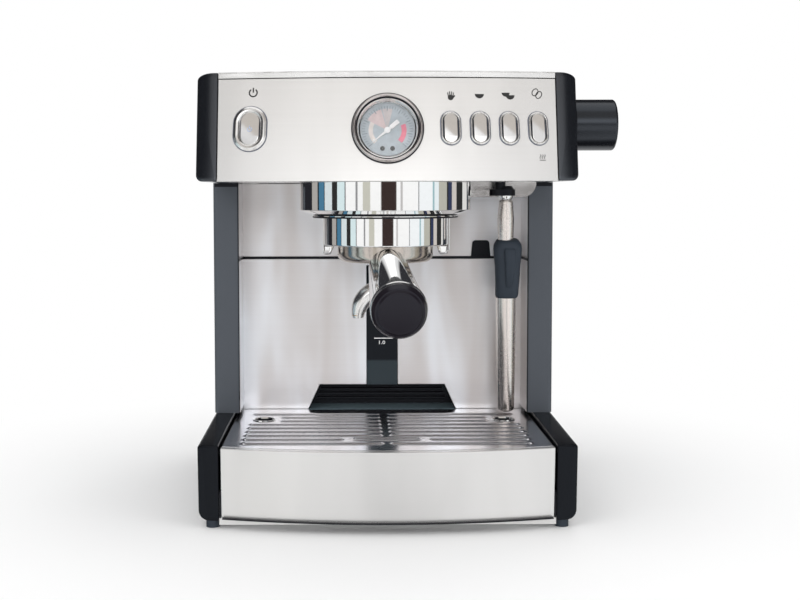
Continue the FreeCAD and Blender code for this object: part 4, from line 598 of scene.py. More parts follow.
# Each finish: its maker, its colour, the share of that colour, and the maker's own values.
METAL_FINISHES = {
    "Brushed casing steel": (make_brushed, "steel", 1.0, {"low": 0.22, "high": 0.26}),
    "Brushed tray steel": (make_brushed, "steel", 0.86, {
        "low": 0.26, "high": 0.27, "stretch": (3.0, 3.0, 300.0), "depth": 0.001, "fine": 0.1}),
    "Brushed cover steel": (make_brushed, "steel", 0.86, {
        "low": 0.26, "high": 0.28, "stretch": (3.0, 300.0, 3.0), "depth": 0.001, "fine": 0.1}),
    "Brushed panel steel": (make_brushed, "panel_steel", 1.0, {
        "low": 0.28, "high": 0.31, "depth": 0.002, "dull": (0.68, 0.645, 0.635), "fine": 0.06}),
    "Folded sheet steel": (make_brushed, "steel", 0.9, {
        "low": 0.3, "high": 0.42, "stretch": (30.0, 500.0, 500.0)}),
    "Grid steel": (make_polished, "grid_steel", 1.0, {"low": 0.18, "high": 0.24, "scale": 30.0}),
    "Chrome": (make_polished, "chrome", 1.0, {"low": 0.03, "high": 0.06}),
    "Satin ring": (make_polished, "cap", 1.0, {"low": 0.2, "high": 0.26, "scale": 60.0}),
    "Spout steel": (make_polished, "cap", 0.97, {"low": 0.2, "high": 0.28, "scale": 40.0}),
    "Satin nickel": (make_polished, "nickel", 1.0, {"low": 0.16, "high": 0.24, "scale": 40.0}),
    "Wand steel": (make_polished, "wand_steel", 1.0, {"low": 0.24, "high": 0.3, "scale": 30.0}),
    "Dial rim": (make_polished, "gauge_rim", 1.0, {"low": 0.14, "high": 0.2, "scale": 60.0}),
    "Button metal": (make_polished, "cap", 1.0, {"low": 0.05, "high": 0.09, "scale": 60.0}),
    "Copper tint": (make_polished, "copper", 1.0, {"low": 0.15, "high": 0.25, "scale": 60.0}),
    "Brass": (make_polished, "brass", 1.0, {"low": 0.25, "high": 0.4, "scale": 60.0}),
}
PLASTIC_FINISHES = {
    "Head plastic": (make_plastic, "cheek", 1.0, {
        "low": 0.22, "high": 0.28, "depth": 0.04, "coat": 0.6, "gleam": 1.0}),
    "Cheek plastic": (make_plastic, "cheek", 1.0, {"low": 0.22, "high": 0.28, "depth": 0.04, "gleam": 0.18}),
    "Knob plastic": (make_plastic, "cheek", 1.0, {"low": 0.20, "high": 0.25, "depth": 0.04, "gleam": 0.7}),
    "Recess floor": (make_plastic, "recess", 1.0, {"low": 0.25, "high": 0.35, "scale": 900.0, "depth": 0.05}),
    "Seam line": (make_plastic, "seam", 1.0, {"low": 0.3, "high": 0.4, "scale": 900.0, "depth": 0.02}),
    "Column plastic": (make_plastic, "column", 1.0, {
        "low": 0.38, "high": 0.48, "scale": 1800.0, "depth": 0.1}),
    "Black plastic": (make_plastic, "black", 1.0, {
        "low": 0.30, "high": 0.40, "scale": 1600.0, "depth": 0.05, "gleam": 0.22}),
    "Cap plastic": (make_plastic, "handle_cap", 1.0, {
        "low": 0.2, "high": 0.26, "scale": 1600.0, "depth": 0.03, "gleam": 0.3}),
    "Soft rubber": (make_plastic, "rubber", 1.0, {"low": 0.55, "high": 0.68, "scale": 2200.0, "depth": 0.25}),
    "Cast aluminium": (make_plastic, "aluminium", 1.0, {
        "low": 0.4, "high": 0.55, "scale": 500.0, "depth": 0.4}),
    "Board laminate": (make_plastic, "board", 1.0, {"low": 0.35, "high": 0.5, "scale": 300.0, "depth": 0.1}),
    "Smoked window": (make_window, "window", 1.0, {}),
    "Gauge glass": (make_clear, "glass", 1.0, {"roughness": 0.0}),
    "Tank plastic": (make_clear, "tank", 1.0, {"roughness": 0.12}),
}
PRINT_FINISHES = {
    "Dial print": (make_ink, "dial", 1.0, {"roughness": 0.45}),
    "Red print": (make_ink, "dial_red", 1.0, {"roughness": 0.5}),
    "Cream print": (make_ink, "dial_cream", 1.0, {"roughness": 0.5}),
    "Dark print": (make_ink, "ink", 1.0, {"roughness": 0.4}),
    "Grey print": (make_ink, "ticks", 1.0, {"roughness": 0.5}),
    "Blue print": (make_ink, "sign", 1.0, {"roughness": 0.5}),
    "Rose print": (make_ink, "rose", 1.0, {"roughness": 0.5}),
    "Umber print": (make_ink, "umber", 1.0, {"roughness": 0.5}),
    "White print": (make_ink, "white", 1.0, {"roughness": 0.45}),
}
FINISHES = {**METAL_FINISHES, **PLASTIC_FINISHES, **PRINT_FINISHES}


def finish(name):
    """Finished material by its name, built when first asked for."""
    material = bpy.data.materials.get(name)
    if material:
        return material
    maker, shade, share, values = FINISHES[name]
    base = scaled_colour(getattr(bpy.context.scene.espresso_colours, shade), share)
    return maker(name, base, **values)


# ------------------------------------------------------------------ operators
class ESPRESSO_OT_stage(bpy.types.Operator):
    """Floor, studio surroundings, lamps and camera"""
    bl_idname = "espresso.stage"
    bl_label = "Stage"

    def execute(self, context):
        build_floor()
        build_surroundings(context.scene)
        build_lamps()
        build_camera(context.scene)
        return {"FINISHED"}


def build_floor():
    """Square floor whose material fades into the background away from the machine."""
    side = np.array([-1400.0, 1400.0])
    middle = GROUP_AT + (0, 80, 0)
    points = np.stack(np.meshgrid(side + GROUP_AT[0], side + GROUP_AT[1], [0.0], indexing="ij"), axis=-1)
    vertices, quads = grid(points.reshape(2, 2, 3))
    mesh = bpy.data.meshes.new("studio_floor")
    mesh.from_pydata((vertices * MM).tolist(), [], quads.tolist())
    floor = bpy.data.objects.new("studio_floor", mesh)
    bpy.context.scene.collection.objects.link(floor)
    material, tree, shader, place = start_material(
        "Studio floor", Roughness=0.8, Base_Color=(0.93, 0.93, 0.93, 1.0))
    glow = add(tree, "ShaderNodeEmission", in_Strength=1.0)
    reach = add(tree, "ShaderNodeVectorMath", place, (middle[0] * MM, middle[1] * MM, 0.0),
                operation="DISTANCE")
    fade = add(tree, "ShaderNodeMapRange", in_Value=reach.outputs["Value"], in_From_Min=0.25,
               in_From_Max=0.55, interpolation_type="SMOOTHSTEP")
    blend = add(tree, "ShaderNodeMixShader", fade.outputs["Result"], shader.outputs[0], glow.outputs[0])
    tree.links.new(blend.outputs[0], tree.nodes["Material Output"].inputs["Surface"])
    mesh.materials.append(material)
    floor.visible_glossy = False


# Upright bands round the machine, each from its azimuth in degrees (0 is straight ahead of the machine).
WALL_BANDS = [
    (-180, (0.80, 0.80, 0.80)), (-164, (0.02, 0.02, 0.025)), (-116, (0.42, 0.40, 0.38)),
    (-104, (0.02, 0.02, 0.02)), (-101, (0.07, 0.20, 0.32)), (-91, (0.03, 0.04, 0.05)),
    (-89, (0.70, 0.78, 0.80)), (-76, (0.03, 0.03, 0.03)), (-68, (0.72, 0.86, 0.88)),
    (-57, (0.05, 0.05, 0.06)), (-55.5, (1.0, 1.0, 1.0)), (-42, (0.30, 0.30, 0.31)),
    (-39, (0.98, 0.98, 0.98)), (-32, (0.12, 0.12, 0.12)), (-31, (0.60, 0.59, 0.52)),
    (-22, (1.0, 1.0, 1.0)), (17, (0.55, 0.53, 0.53)), (20, (1.0, 1.0, 1.0)),
    (41, (0.30, 0.30, 0.32)), (43, (0.95, 0.98, 1.0)), (63, (0.35, 0.52, 0.56)),
    (66, (0.85, 0.92, 0.95)), (72, (0.50, 0.49, 0.43)), (86, (0.03, 0.03, 0.03)),
    (89, (0.04, 0.05, 0.10)), (96, (0.62, 0.58, 0.54)), (106, (0.03, 0.03, 0.03)),
    (122, (0.75, 0.74, 0.72)), (140, (0.25, 0.25, 0.25)), (150, (0.80, 0.80, 0.80)),
]


def build_surroundings(scene):
    """World: even light on matt surfaces, white behind the machine, and for mirrors a light tent."""
    world = bpy.data.worlds.new("Studio")
    scene.world = world
    world.use_nodes = True
    tree = world.node_tree
    direction = tree.nodes.new("ShaderNodeTexCoord").outputs["Generated"]
    parts = add(tree, "ShaderNodeSeparateXYZ", direction).outputs
    toward = add(tree, "ShaderNodeMath", parts["Y"], -1.0, operation="MULTIPLY")
    azimuth = add(tree, "ShaderNodeMath", parts["X"], toward.outputs[0], operation="ARCTAN2")
    tent = light_tent(tree, azimuth.outputs[0], parts["Z"])
    share_between_rays(tree, tent)


def band_colours(tree, turn):
    """Colour of the wall's upright band at an azimuth."""
    around = add(tree, "ShaderNodeMapRange", in_Value=turn, in_From_Min=-math.pi, in_From_Max=math.pi)
    bands = add(tree, "ShaderNodeValToRGB", around.outputs["Result"])
    ramp = bands.color_ramp
    ramp.interpolation = "CONSTANT"
    for index, (angle, shade) in enumerate(WALL_BANDS):
        spot = (angle + 180) / 360
        stop = ramp.elements[0] if index == 0 else ramp.elements.new(spot)
        stop.position = spot
        stop.color = (*shade, 1.0)
    ramp.elements.remove(ramp.elements[-1])
    return bands.outputs["Color"]


def light_tent(tree, turn, height):
    """What mirrors see at an azimuth and at a height, the sine of the elevation: bands low down, a pale
    screen with a card and a softbox over them, a dark flag ahead, an apron below and a warm ceiling."""
    def product(first, second):
        """Product of two shares."""
        return add(tree, "ShaderNodeMath", first, second, operation="MULTIPLY").outputs[0]

    def between(socket, low, high, soft):
        """1 between two values and 0 outside them, with soft edges."""
        rise = add(tree, "ShaderNodeMapRange", in_Value=socket, in_From_Min=low - soft,
                   in_From_Max=low + soft)
        fall = add(tree, "ShaderNodeMapRange", in_Value=socket, in_From_Min=high - soft,
                   in_From_Max=high + soft, in_To_Min=1.0, in_To_Max=0.0)
        return product(rise.outputs["Result"], fall.outputs["Result"])

    def sector(low, high, soft):
        """1 between two azimuths in degrees."""
        return between(turn, math.radians(low), math.radians(high), soft)

    def blend(factor, low, high):
        """Mix of two colours, each a socket or a plain colour."""
        low, high = ((*value, 1.0) if isinstance(value, tuple) else value for value in (low, high))
        mix = add(tree, "ShaderNodeMix", data_type="RGBA", in_Factor=factor, in_A=low, in_B=high)
        return mix.outputs["Result"]

    front = sector(-30, 38, 0.09)
    softbox = product(sector(-13, 17, 0.16), between(height, 0.18, 0.41, 0.05))
    card = product(sector(-22, 30, 0.12), between(height, 0.12, 0.2, 0.02))
    flag = product(sector(-7, 13, 0.01), between(height, -0.9, 0.11, 0.02))
    apron = product(front, between(height, -0.45, -0.085, 0.015))
    screen = blend(front, (0.035, 0.035, 0.04), (0.80, 0.80, 0.81))
    screen = blend(card, screen, (1.8, 1.8, 1.82))
    screen = blend(softbox, screen, (2.0, 2.0, 2.0))
    wall = blend(between(height, -0.9, 0.12, 0.02), screen, band_colours(tree, turn))
    wall = blend(flag, wall, (0.045, 0.03, 0.028))
    wall = blend(apron, wall, (0.97, 0.97, 0.97))
    ceiling = blend(sector(-36, 42, 0.08), (0.03, 0.03, 0.035), (0.58, 0.545, 0.51))
    roofed = blend(between(height, 0.443, 2.0, 0.003), wall, ceiling)
    return blend(between(height, 0.87, 2.0, 0.01), roofed, (1.0, 1.0, 1.0))


def share_between_rays(tree, tent):
    """The tent for mirror rays, plain white for the camera and through glass, and an even grey light for
    the rest."""
    rays = tree.nodes.new("ShaderNodeLightPath").outputs
    plain = (1.0, 1.0, 1.0, 1.0)
    mirror = add(tree, "ShaderNodeBackground", in_Strength=1.0, in_Color=tent)
    even = add(tree, "ShaderNodeBackground", in_Strength=0.85, in_Color=plain)
    white = add(tree, "ShaderNodeBackground", in_Strength=1.0, in_Color=plain)
    seen = add(tree, "ShaderNodeMath", rays["Is Camera Ray"], rays["Is Transmission Ray"],
               operation="MAXIMUM")
    light = add(tree, "ShaderNodeMixShader", rays["Is Glossy Ray"], even.outputs[0], mirror.outputs[0])
    light = add(tree, "ShaderNodeMixShader", seen.outputs[0], light.outputs[0], white.outputs[0])
    tree.links.new(light.outputs[0], tree.nodes["World Output"].inputs["Surface"])


# Each lamp: its place and its size in metres, and its power in watts.
LAMPS = {
    "key": ((-1.1, -1.2, 1.3), 1.2, 9.0),
    "fill": ((1.3, -0.9, 0.9), 1.0, 5.0),
    "front": ((-0.1, -1.5, 0.25), 0.9, 7.0),
    "back": ((0.4, 1.4, 1.5), 1.2, 6.0),
}


def build_lamps():
    """Soft key from the upper left, fill from the right, a front light for the cup space and a light
    from behind, all aimed at the middle of the machine. Mirrors show the tent instead of the lamps."""
    target = Vector((0, 0, 0.2))
    for name, (place, size, power) in LAMPS.items():
        light = bpy.data.lights.new(name, "AREA")
        light.size = size
        light.energy = power
        lamp = bpy.data.objects.new(name, light)
        lamp.location = place
        lamp.visible_glossy = False
        lamp.rotation_euler = (target - Vector(place)).to_track_quat("-Z", "Y").to_euler()
        bpy.context.scene.collection.objects.link(lamp)


def build_camera(scene):
    """Camera at table distance, a little below the height of the head."""
    from_group = np.array([-29.7, -1014.4, 44.45])
    pitch = math.radians(3.2)
    roll = math.radians(0.14)
    data = bpy.data.cameras.new("camera")
    data.lens = 53.11
    data.sensor_width = 36.0
    data.shift_x = 0.0618
    data.shift_y = -0.0522
    camera = bpy.data.objects.new("camera", data)
    camera.location = (GROUP_AT + from_group) * MM
    camera.rotation_euler = (math.radians(90) - pitch, roll, 0.0)
    scene.collection.objects.link(camera)
    scene.camera = camera
    scene.view_settings.view_transform = "Standard"


class ESPRESSO_OT_casing(bpy.types.Operator):
    """Finishes for the casing, the splash panels, the screws and the inner pieces"""
    bl_idname = "espresso.casing"
    bl_label = "Casing"

    def execute(self, context):
        softened("front_fascia", 0.7, "Brushed casing steel")
        softened("top_cover", 0.7, "Brushed cover steel")
        softened("upper_splash_panel", 0.5, "Brushed panel steel")
        softened("lower_splash_panel", 0.7, "Brushed panel steel")
        build_cheeks()
        build_trims()
        build_recess()
        build_window()
        for name, nodes in CASING_NODES.items():
            dress(name, *nodes)
        return {"FINISHED"}


# Nodes of the casing that keep their shape, by their finish.
CASING_NODES = {
    "Brushed casing steel": ("rear_panel", "head_deck"),
    "Folded sheet steel": ("base_pan", "corner_posts", "tank_shelf", "casing_screws"),
    "Spout steel": ("wand_bracket",),
    "Column plastic": ("side_panel_left", "side_panel_right"),
    "Black plastic": ("mains_inlet", "switch_bank", "pump", "tank_lid", "drip_tray"),
    "Soft rubber": ("feet", "group_gasket"),
    "Brass": ("brew_boiler", "steam_valve", "solenoid_valve"),
    "Cast aluminium": ("steam_boiler",),
    "Board laminate": ("control_board",),
    "Tank plastic": ("water_tank",),
}


def cheek_skin(inner, outer, low, back, front_at, top_at, corners, nose, insets, crown):
    """Skin of a cheek: outlines in front view, stepped from front to back. Over the depth nose they
    shrink by the quarter ellipse 1 - sqrt(1 - (1 - t)^2); the front face then closes to its middle and
    falls back towards the outer side by crown u^2, for the share u of the way out."""
    rings = []

    def outline_at(y, shrink):
        low_radii = [max(0.5, radius - inset * shrink) for radius, inset in zip(corners[0], insets[::2])]
        high_radii = [max(0.5, radius - inset * shrink) for radius, inset in zip(corners[1], insets[:2])]
        return rounded_section(inner + 0.5 * shrink, outer - insets[0] * shrink, low + insets[2] * shrink,
                               top_at(y) - insets[1] * shrink, low_radii, high_radii)

    face = outline_at(0.0, 1.0)
    middle = np.array([(inner + outer) / 2, face[:, 1].mean()])
    for share in (0.0, 0.2, 0.4, 0.6, 0.8, 0.93):
        rings.append((0.0, middle + (face - middle) * share))
    for t in np.linspace(0, 1, 9) ** 1.4:
        rings.append((t * nose, outline_at(t * nose, 1 - math.sqrt(1 - (1 - t) ** 2))))
    for y in np.linspace(nose, back, 10)[1:]:
        rings.append((y, outline_at(y, 0.0)))
    points = []
    for y, ring in rings:
        out = np.clip((ring[:, 0] - inner) / (outer - inner), 0, 1)
        ahead = max(0.0, 1 - y / back)
        depth = y + (front_at(ring[:, 1]) + crown * out ** 2) * ahead
        points.append(np.stack([ring[:, 0], depth, ring[:, 1]], axis=1))
    points = np.array(points)
    rear = points[-1:].mean(axis=1, keepdims=True) + 0 * points[-1:]
    return np.concatenate([points, rear])


def build_cheeks():
    """Side cheeks with swelling edges: the head's lean back with the fascia; the base's lean forward, dip
    at the front and reach a little below their solids."""
    low, high = CHEEK_LOW, CHEEK_HIGH
    head = cheek_skin(
        low[0] - MIDDLE_X, high[0] - MIDDLE_X, low[2], high[1] - low[1],
        lambda z: (z - CHEEK_LOW[2]) * FASCIA_SLOPE, lambda y: CHEEK_HIGH[2],
        ((5.5, 5.5), (13.0, 6.0)), 3.0, (1.3, 1.0, 1.3), 5.5)
    cheek_pair("head_cheek", head + (0, low[1], 0), "Head plastic")
    low, high = box_mm("base_cheek_right")
    column = box_mm("side_panel_right")[0][1] - low[1]
    lean = 4.5
    dip = 2.5
    skirt = 3.4
    base = cheek_skin(
        low[0] - MIDDLE_X, high[0] - MIDDLE_X, low[2] - skirt, high[1] - low[1],
        lambda z: lean * (1 - (z - low[2]) / (high[2] - low[2])),
        lambda y: high[2] - dip * max(0.0, 1 - y / column),
        ((8.0, 8.0), (3.0, 3.0)), 3.0, (1.3, 1.6, 1.3), 4.0)
    cheek_pair("base_cheek", base + (0, low[1], 0), "Cheek plastic")


def cheek_pair(name, points, plastic):
    """Right cheek from its points about the middle of the casing, and its mirror image."""
    for side, turn in (("right", (1.0, 1.0, 1.0)), ("left", (-1.0, 1.0, 1.0))):
        surface = grid(points * turn + (MIDDLE_X, 0, 0), wrap_v=True)
        piece(name + "_" + side + "_skin", [surface], plastic, "chassis", [name + "_" + side])


def bar(x0, x1, y0, y1, z0, z1, radius=0.5):
    """Upright bar with rounded long edges: its outline in plan, stepped in height."""
    half_way = (x0 + x1) / 2
    plan = rounded([(half_way, y1), (x0, y1, radius), (x0, y0, radius), (x1, y0, radius), (x1, y1, radius),
                    (half_way, y1)], 4)
    middle = plan.mean(axis=0)
    rings = []
    for z, share in ((z0, 0.0), (z0, 1.0), (z1, 1.0), (z1, 0.0)):
        rings.append(np.column_stack([middle + (plan - middle) * share, np.full(len(plan), z)]))
    return grid(np.array(rings))


def on_side(side, near, far):
    """Lower and higher x of the stretch between two distances from the casing's middle, on one side."""
    return sorted((MIDDLE_X + side * near, MIDDLE_X + side * far))


def build_trims():
    """Black bars that paint the shade in the seam of the splash panels, down the columns, at their heads
    and beside the tray, a black bar behind the notch over the seam, and the panels' folded sides."""
    upper_low, upper_high = box_mm("upper_splash_panel")
    column_low, column_high = box_mm("side_panel_right")
    pan_low, pan_high = box_mm("base_pan")
    seam_foot = box_mm("lower_splash_panel")[1][2] + 0.1
    seam_top = upper_low[2] - 0.1
    half = upper_high[0] - MIDDLE_X
    inner = column_low[0] - MIDDLE_X
    tray = pan_high[0] - MIDDLE_X
    foot, top = column_low[2], column_high[2]
    face = column_low[1]
    edge = face + 2.5
    notch_near, notch_far, notch_height = 82, 105, 24
    # Painted shade: black bars stand in for the shadow that falls in these seams and gaps.
    shade_bars = [
        bar(*on_side(1, -half, half), upper_low[1] + 0.6, upper_high[1] - 0.1, seam_foot, seam_top),
        bar(*on_side(1, notch_near, notch_far), upper_high[1] + 0.2, upper_high[1] + 1.2,
            upper_low[2] - 1, upper_low[2] + notch_height)]
    folds = []
    for side in (-1, 1):
        near, far = on_side(side, inner - 0.6, inner + 1.5)
        shade_bars.append(bar(near, far, face + 0.4, edge, foot, top - 0.5))
        shade_bars.append(bar(*on_side(side, tray - 0.2, tray - 1.5), pan_low[1] - 1.8, pan_low[1] - 0.1,
                         pan_low[2] + 6, pan_high[2] + 2, 0.3))
        shade_bars.append(bar(*on_side(side, inner, inner + 21.0), face - 0.3, face + 1.5,
                         top - 3.6, top - 0.2, 0.3))
        folds.append(bar(near, far, edge, upper_low[1] + 0.5, foot, top - 0.5))
        shade_bars.append(bar(near - 0.2, far + 0.2, edge - 0.2, upper_low[1] + 0.4, seam_foot, seam_top, 0.3))
    piece("dark_lines", shade_bars, "Black plastic", "chassis")
    piece("panel_folds", folds, "Brushed panel steel", "chassis")


def build_recess():
    """Recess for cups: a trapezoid box behind the panel with four ribs on its back wall and a pale floor."""
    panel_low = box_mm("lower_splash_panel")[0]
    wall = 2.0
    back_at = box_mm("splash_insert")[1][1] - wall
    front = panel_low[1] + 0.3
    foot = panel_low[2]
    top = box_mm("level_window")[0][2]
    floor_at = foot + 3.0
    foot_half, top_half, rib_half, floor_half = 70.3, 59.5, 66.0, 69.5
    outline = np.array([[-foot_half, floor_at], [-top_half, top], [top_half, top], [foot_half, floor_at]])
    outline = outline + (MIDDLE_X, 0)
    flat = 0 * outline[:, 0]
    sides = [np.stack([outline[:, 0], flat + y, outline[:, 1]], axis=1) for y in (front, back_at)]
    back = np.stack([sides[1], np.array([MIDDLE_X, back_at, (foot + top) / 2]) + 0 * sides[1]])
    surfaces = [grid(np.array(sides), wrap_v=True), grid(back, wrap_v=True)]
    rib = rounded([(0.0, -1.4), (-3.0, -1.2, 0.6), (-3.0, 1.2, 0.6), (0.0, 1.4)], 4)
    for z in np.linspace(foot + 9, top - 4.5, 4):
        reach = rib_half * (1 - 0.15 * (z - foot) / (top - foot))
        surfaces.append(carried(rib + (back_at - 0.2, z), (MIDDLE_X - reach, MIDDLE_X + reach)))
    piece("recess_box", surfaces, "Black plastic", "chassis", ["splash_insert"], facing=(0, -1, 0))
    lip = front - 2.6
    floor = rounded([(lip, foot + 1.6), (lip, floor_at + 0.2, 0.4), (back_at, floor_at + 0.4)], 4)
    surface = carried(floor, (MIDDLE_X - floor_half, MIDDLE_X + floor_half))
    piece("recess_floor", [surface], "Recess floor", "chassis",
          facing=(0, -1, 1))


def build_window():
    """Level window: a pane with rounded edges, a mark line and its number."""
    low, high = box_mm("level_window")
    half = 14.6
    front = low[1]
    mark_z = 135.6
    section = rounded([(-half, 2.0), (-half, 0.0, 0.6), (half, 0.0, 0.6), (half, 2.0)], 4) + (MIDDLE_X, front)
    levels = (low[2], WATER_LEVEL, high[2] - 3.5)
    rings = [np.column_stack([section, np.full(len(section), z)]) for z in levels]
    piece("window_pane", [grid(np.array(rings))], "Smoked window", "chassis", ["level_window"],
          facing=(0, -1, 0))

    def lay(shape, rise):
        """Flat points on the pane, about the mark."""
        x, z = shape[..., 0], shape[..., 1]
        return np.stack([MIDDLE_X + x, front - rise + 0 * x, mark_z + z], axis=-1)

    line = ribbon([(-7.5, 0.0), (10.0, 0.0)], 0.8)
    one = ribbon([(-2.6, -2.4), (-2.6, -5.6)], 0.7)
    point = ribbon([(-1.0, -5.4), (-0.4, -5.4)], 0.7)
    nought = ribbon(arc_path(1.0, 0, 360, (1.6, -4.0), 24) * (1, 1.35) + (0, 1.4), 0.6)
    printed("window_mark", [line, one, point, nought], "White print", "chassis", lay,
            0.06, (0, -1, 0))


class ESPRESSO_OT_group(bpy.types.Operator):
    """Group, portafilter and spout"""
    bl_idname = "espresso.group"
    bl_label = "Group"

    def execute(self, context):
        build_shroud()
        build_collar()
        build_spout()
        dress("Chrome", "group_body", "shower_screen", "portafilter_handle")
        dress("Satin nickel", "portafilter_body", "filter_basket")
        build_handle_cap()
        return {"FINISHED"}


def group_turned(profile, steps=192, closed=True):
    """Surface turned about the group's axis."""
    return turned(profile, GROUP_AXIS, np.eye(3), steps, closed)


def build_shroud():
    """Upper ring of the group: upright wall, rounded edge, shallow cone and flat underside, with a black
    ring under it that paints a dark line of shade where shroud and collar meet."""
    low, high = box_mm("group_shroud")
    foot = low[2]
    bore = 49.0
    radius = high[0] - GROUP_AT[0]
    inside = radius - 2
    cone = radius - 11.8
    profile = rounded([
        (inside, high[2]), (radius, high[2] - 0.1, 0.4), (radius, foot + 5.8, 0.5), (cone, foot + 1.2, 0.5),
        (cone, foot, 0.3), (bore, foot), (bore, foot + 1.5), (radius - 14.0, foot + 2.6),
        (inside, foot + 6.6), (inside, high[2])], 7)
    piece("shroud_ring", [group_turned(profile)], "Chrome", "chassis", ["group_shroud"])
    # Black ring: painted shade along the joint of shroud and collar.
    shade_ring_in = 54.2
    shade_ring_out = radius - 11.2
    seal = rounded([(shade_ring_in, foot + 0.4), (shade_ring_out, foot + 0.4), (shade_ring_out, foot - 0.9, 0.4),
                    (shade_ring_in, foot - 0.9), (shade_ring_in, foot + 0.4)], 4)
    piece("shroud_seal", [group_turned(seal)], "Black plastic", "chassis")


def build_collar():
    """Bayonet ring with rounded edges, two clamp ears below it and a block on its right."""
    low, high = box_mm("group_collar")
    radius = high[0] - GROUP_AT[0]
    foot = low[2] + 8.8
    bore = 42.6
    ear_half = 9.5
    profile = rounded([
        (bore, high[2]), (radius, high[2], 0.5), (radius, foot, 1.0), (bore, foot, 0.8), (bore, high[2])], 6)
    surfaces = [group_turned(profile)]
    turn = np.radians(np.linspace(-ear_half, ear_half, 25))
    swell = np.sqrt(np.clip(1 - (turn / turn[-1]) ** 4, 0.02, 1.0))
    ear = rounded([(radius - 0.3, foot + 0.5), (radius - 0.3, low[2], 1.6), (radius - 6.5, low[2], 2.0),
                   (radius - 9.5, foot - 2.0, 1.0), (radius - 9.8, foot + 0.5)], 6)
    drop = (ear[:, 1] - foot)[:, None] * swell
    for side in (1, -1):
        shape = np.stack([side * ear[:, :1] * np.cos(turn), ear[:, :1] * np.sin(turn), foot + drop], axis=-1)
        surfaces.append(grid(shape + GROUP_AXIS))
    x, y = GROUP_AT[:2]
    surfaces.append(bar(x + 45.0, x + 55.2, y - 7, y + 7, low[2] + 4, high[2] - 0.1, 1.2))
    piece("collar_ring", surfaces, "Chrome", "chassis", ["group_collar"])


def build_spout():
    """Stem and two full, tapering outlets along quarter circles, each with a thin ring in its tip."""
    low, high = box_mm("spout")
    reach = high[0] - GROUP_AT[0] - 6.6
    crest = low[2] + reach
    stem = rounded([(0.0, crest - 7.0), (7.0, crest - 5.0, 3.0), (8.0, crest + 4, 2.0),
                    (8.0, high[2] - 1.5, 0.6), (10.5, high[2], 0.3)], 6)
    lip = rounded([(3.6, 1.6), (4.1, 0.2, 0.3), (5.0, 0.05, 0.3), (5.4, 1.6)], 4)
    turn = np.radians(np.linspace(90, -4, 26))
    t = np.linspace(0, 1, len(turn))
    radii = 7.2 + 1.1 * np.sin(np.pi * t) - 2.5 * t ** 3
    beaks = [group_turned(stem, 64, False)]
    tips = []
    for side in (-1, 1):
        x = side * reach * np.cos(turn)
        path = np.stack([x, 0 * turn, low[2] + 0.6 + reach * np.sin(turn)], axis=1)
        beaks.append(tube(path + GROUP_AXIS, radii, (0, 1, 0), 40))
        tips.append(turned(lip, GROUP_AXIS + (side * reach, 0.0, low[2]), steps=40))
    piece("spout_beaks", portafilter_turned(beaks), "Spout steel", "portafilter", ["spout"])
    piece("spout_tips", portafilter_turned(tips), "Copper tint", "portafilter")


def portafilter_turned(surfaces):
    """The same surfaces turned with the handle, which rests a little to the right of straight ahead."""
    return [((points - GROUP_AXIS) @ rotation(HANDLE_TURN) + GROUP_AXIS, quads) for points, quads in surfaces]


def build_handle_cap():
    """End cap of the handle: soft shoulder, a shallow ledge and a face of radius R that bulges by
    0.3 (1 - (r/R)^2)."""
    low, high = box_mm("handle_cap")
    level = math.cos(HANDLE_SLOPE)
    along = np.array([math.sin(HANDLE_TURN) * level, -math.cos(HANDLE_TURN) * level, -math.sin(HANDLE_SLOPE)])
    end = (low + high) / 2 + along * 6.7
    radius = 20.1
    face_radius = 14.9
    bulge = 0.3
    shoulder = rounded([(radius, -12.0), (radius, -6.0, 4.0), (17.8, -1.5, 1.2), (16.8, -1.4, 0.3),
                        (15.2, -bulge, 0.5), (face_radius, -bulge)], 8)
    r = np.linspace(face_radius, 0.0, 9)[1:]
    face = np.stack([r, -bulge + bulge * (1 - (r / face_radius) ** 2)], axis=1)
    surface = turned(np.concatenate([shoulder, face]), end, outward_axes(-along))
    piece("handle_cap_face", [surface], "Cap plastic", "portafilter", ["handle_cap"])


class ESPRESSO_OT_steam(bpy.types.Operator):
    """Steam wand, its socket and the knob"""
    bl_idname = "espresso.steam"
    bl_label = "Steam"

    def execute(self, context):
        build_wand()
        dress("Chrome", "wand_ball")
        dress("Wand steel", "wand_sleeve")
        dress("Black plastic", "wand_socket")
        dress("Knob plastic", "steam_knob")
        return {"FINISHED"}


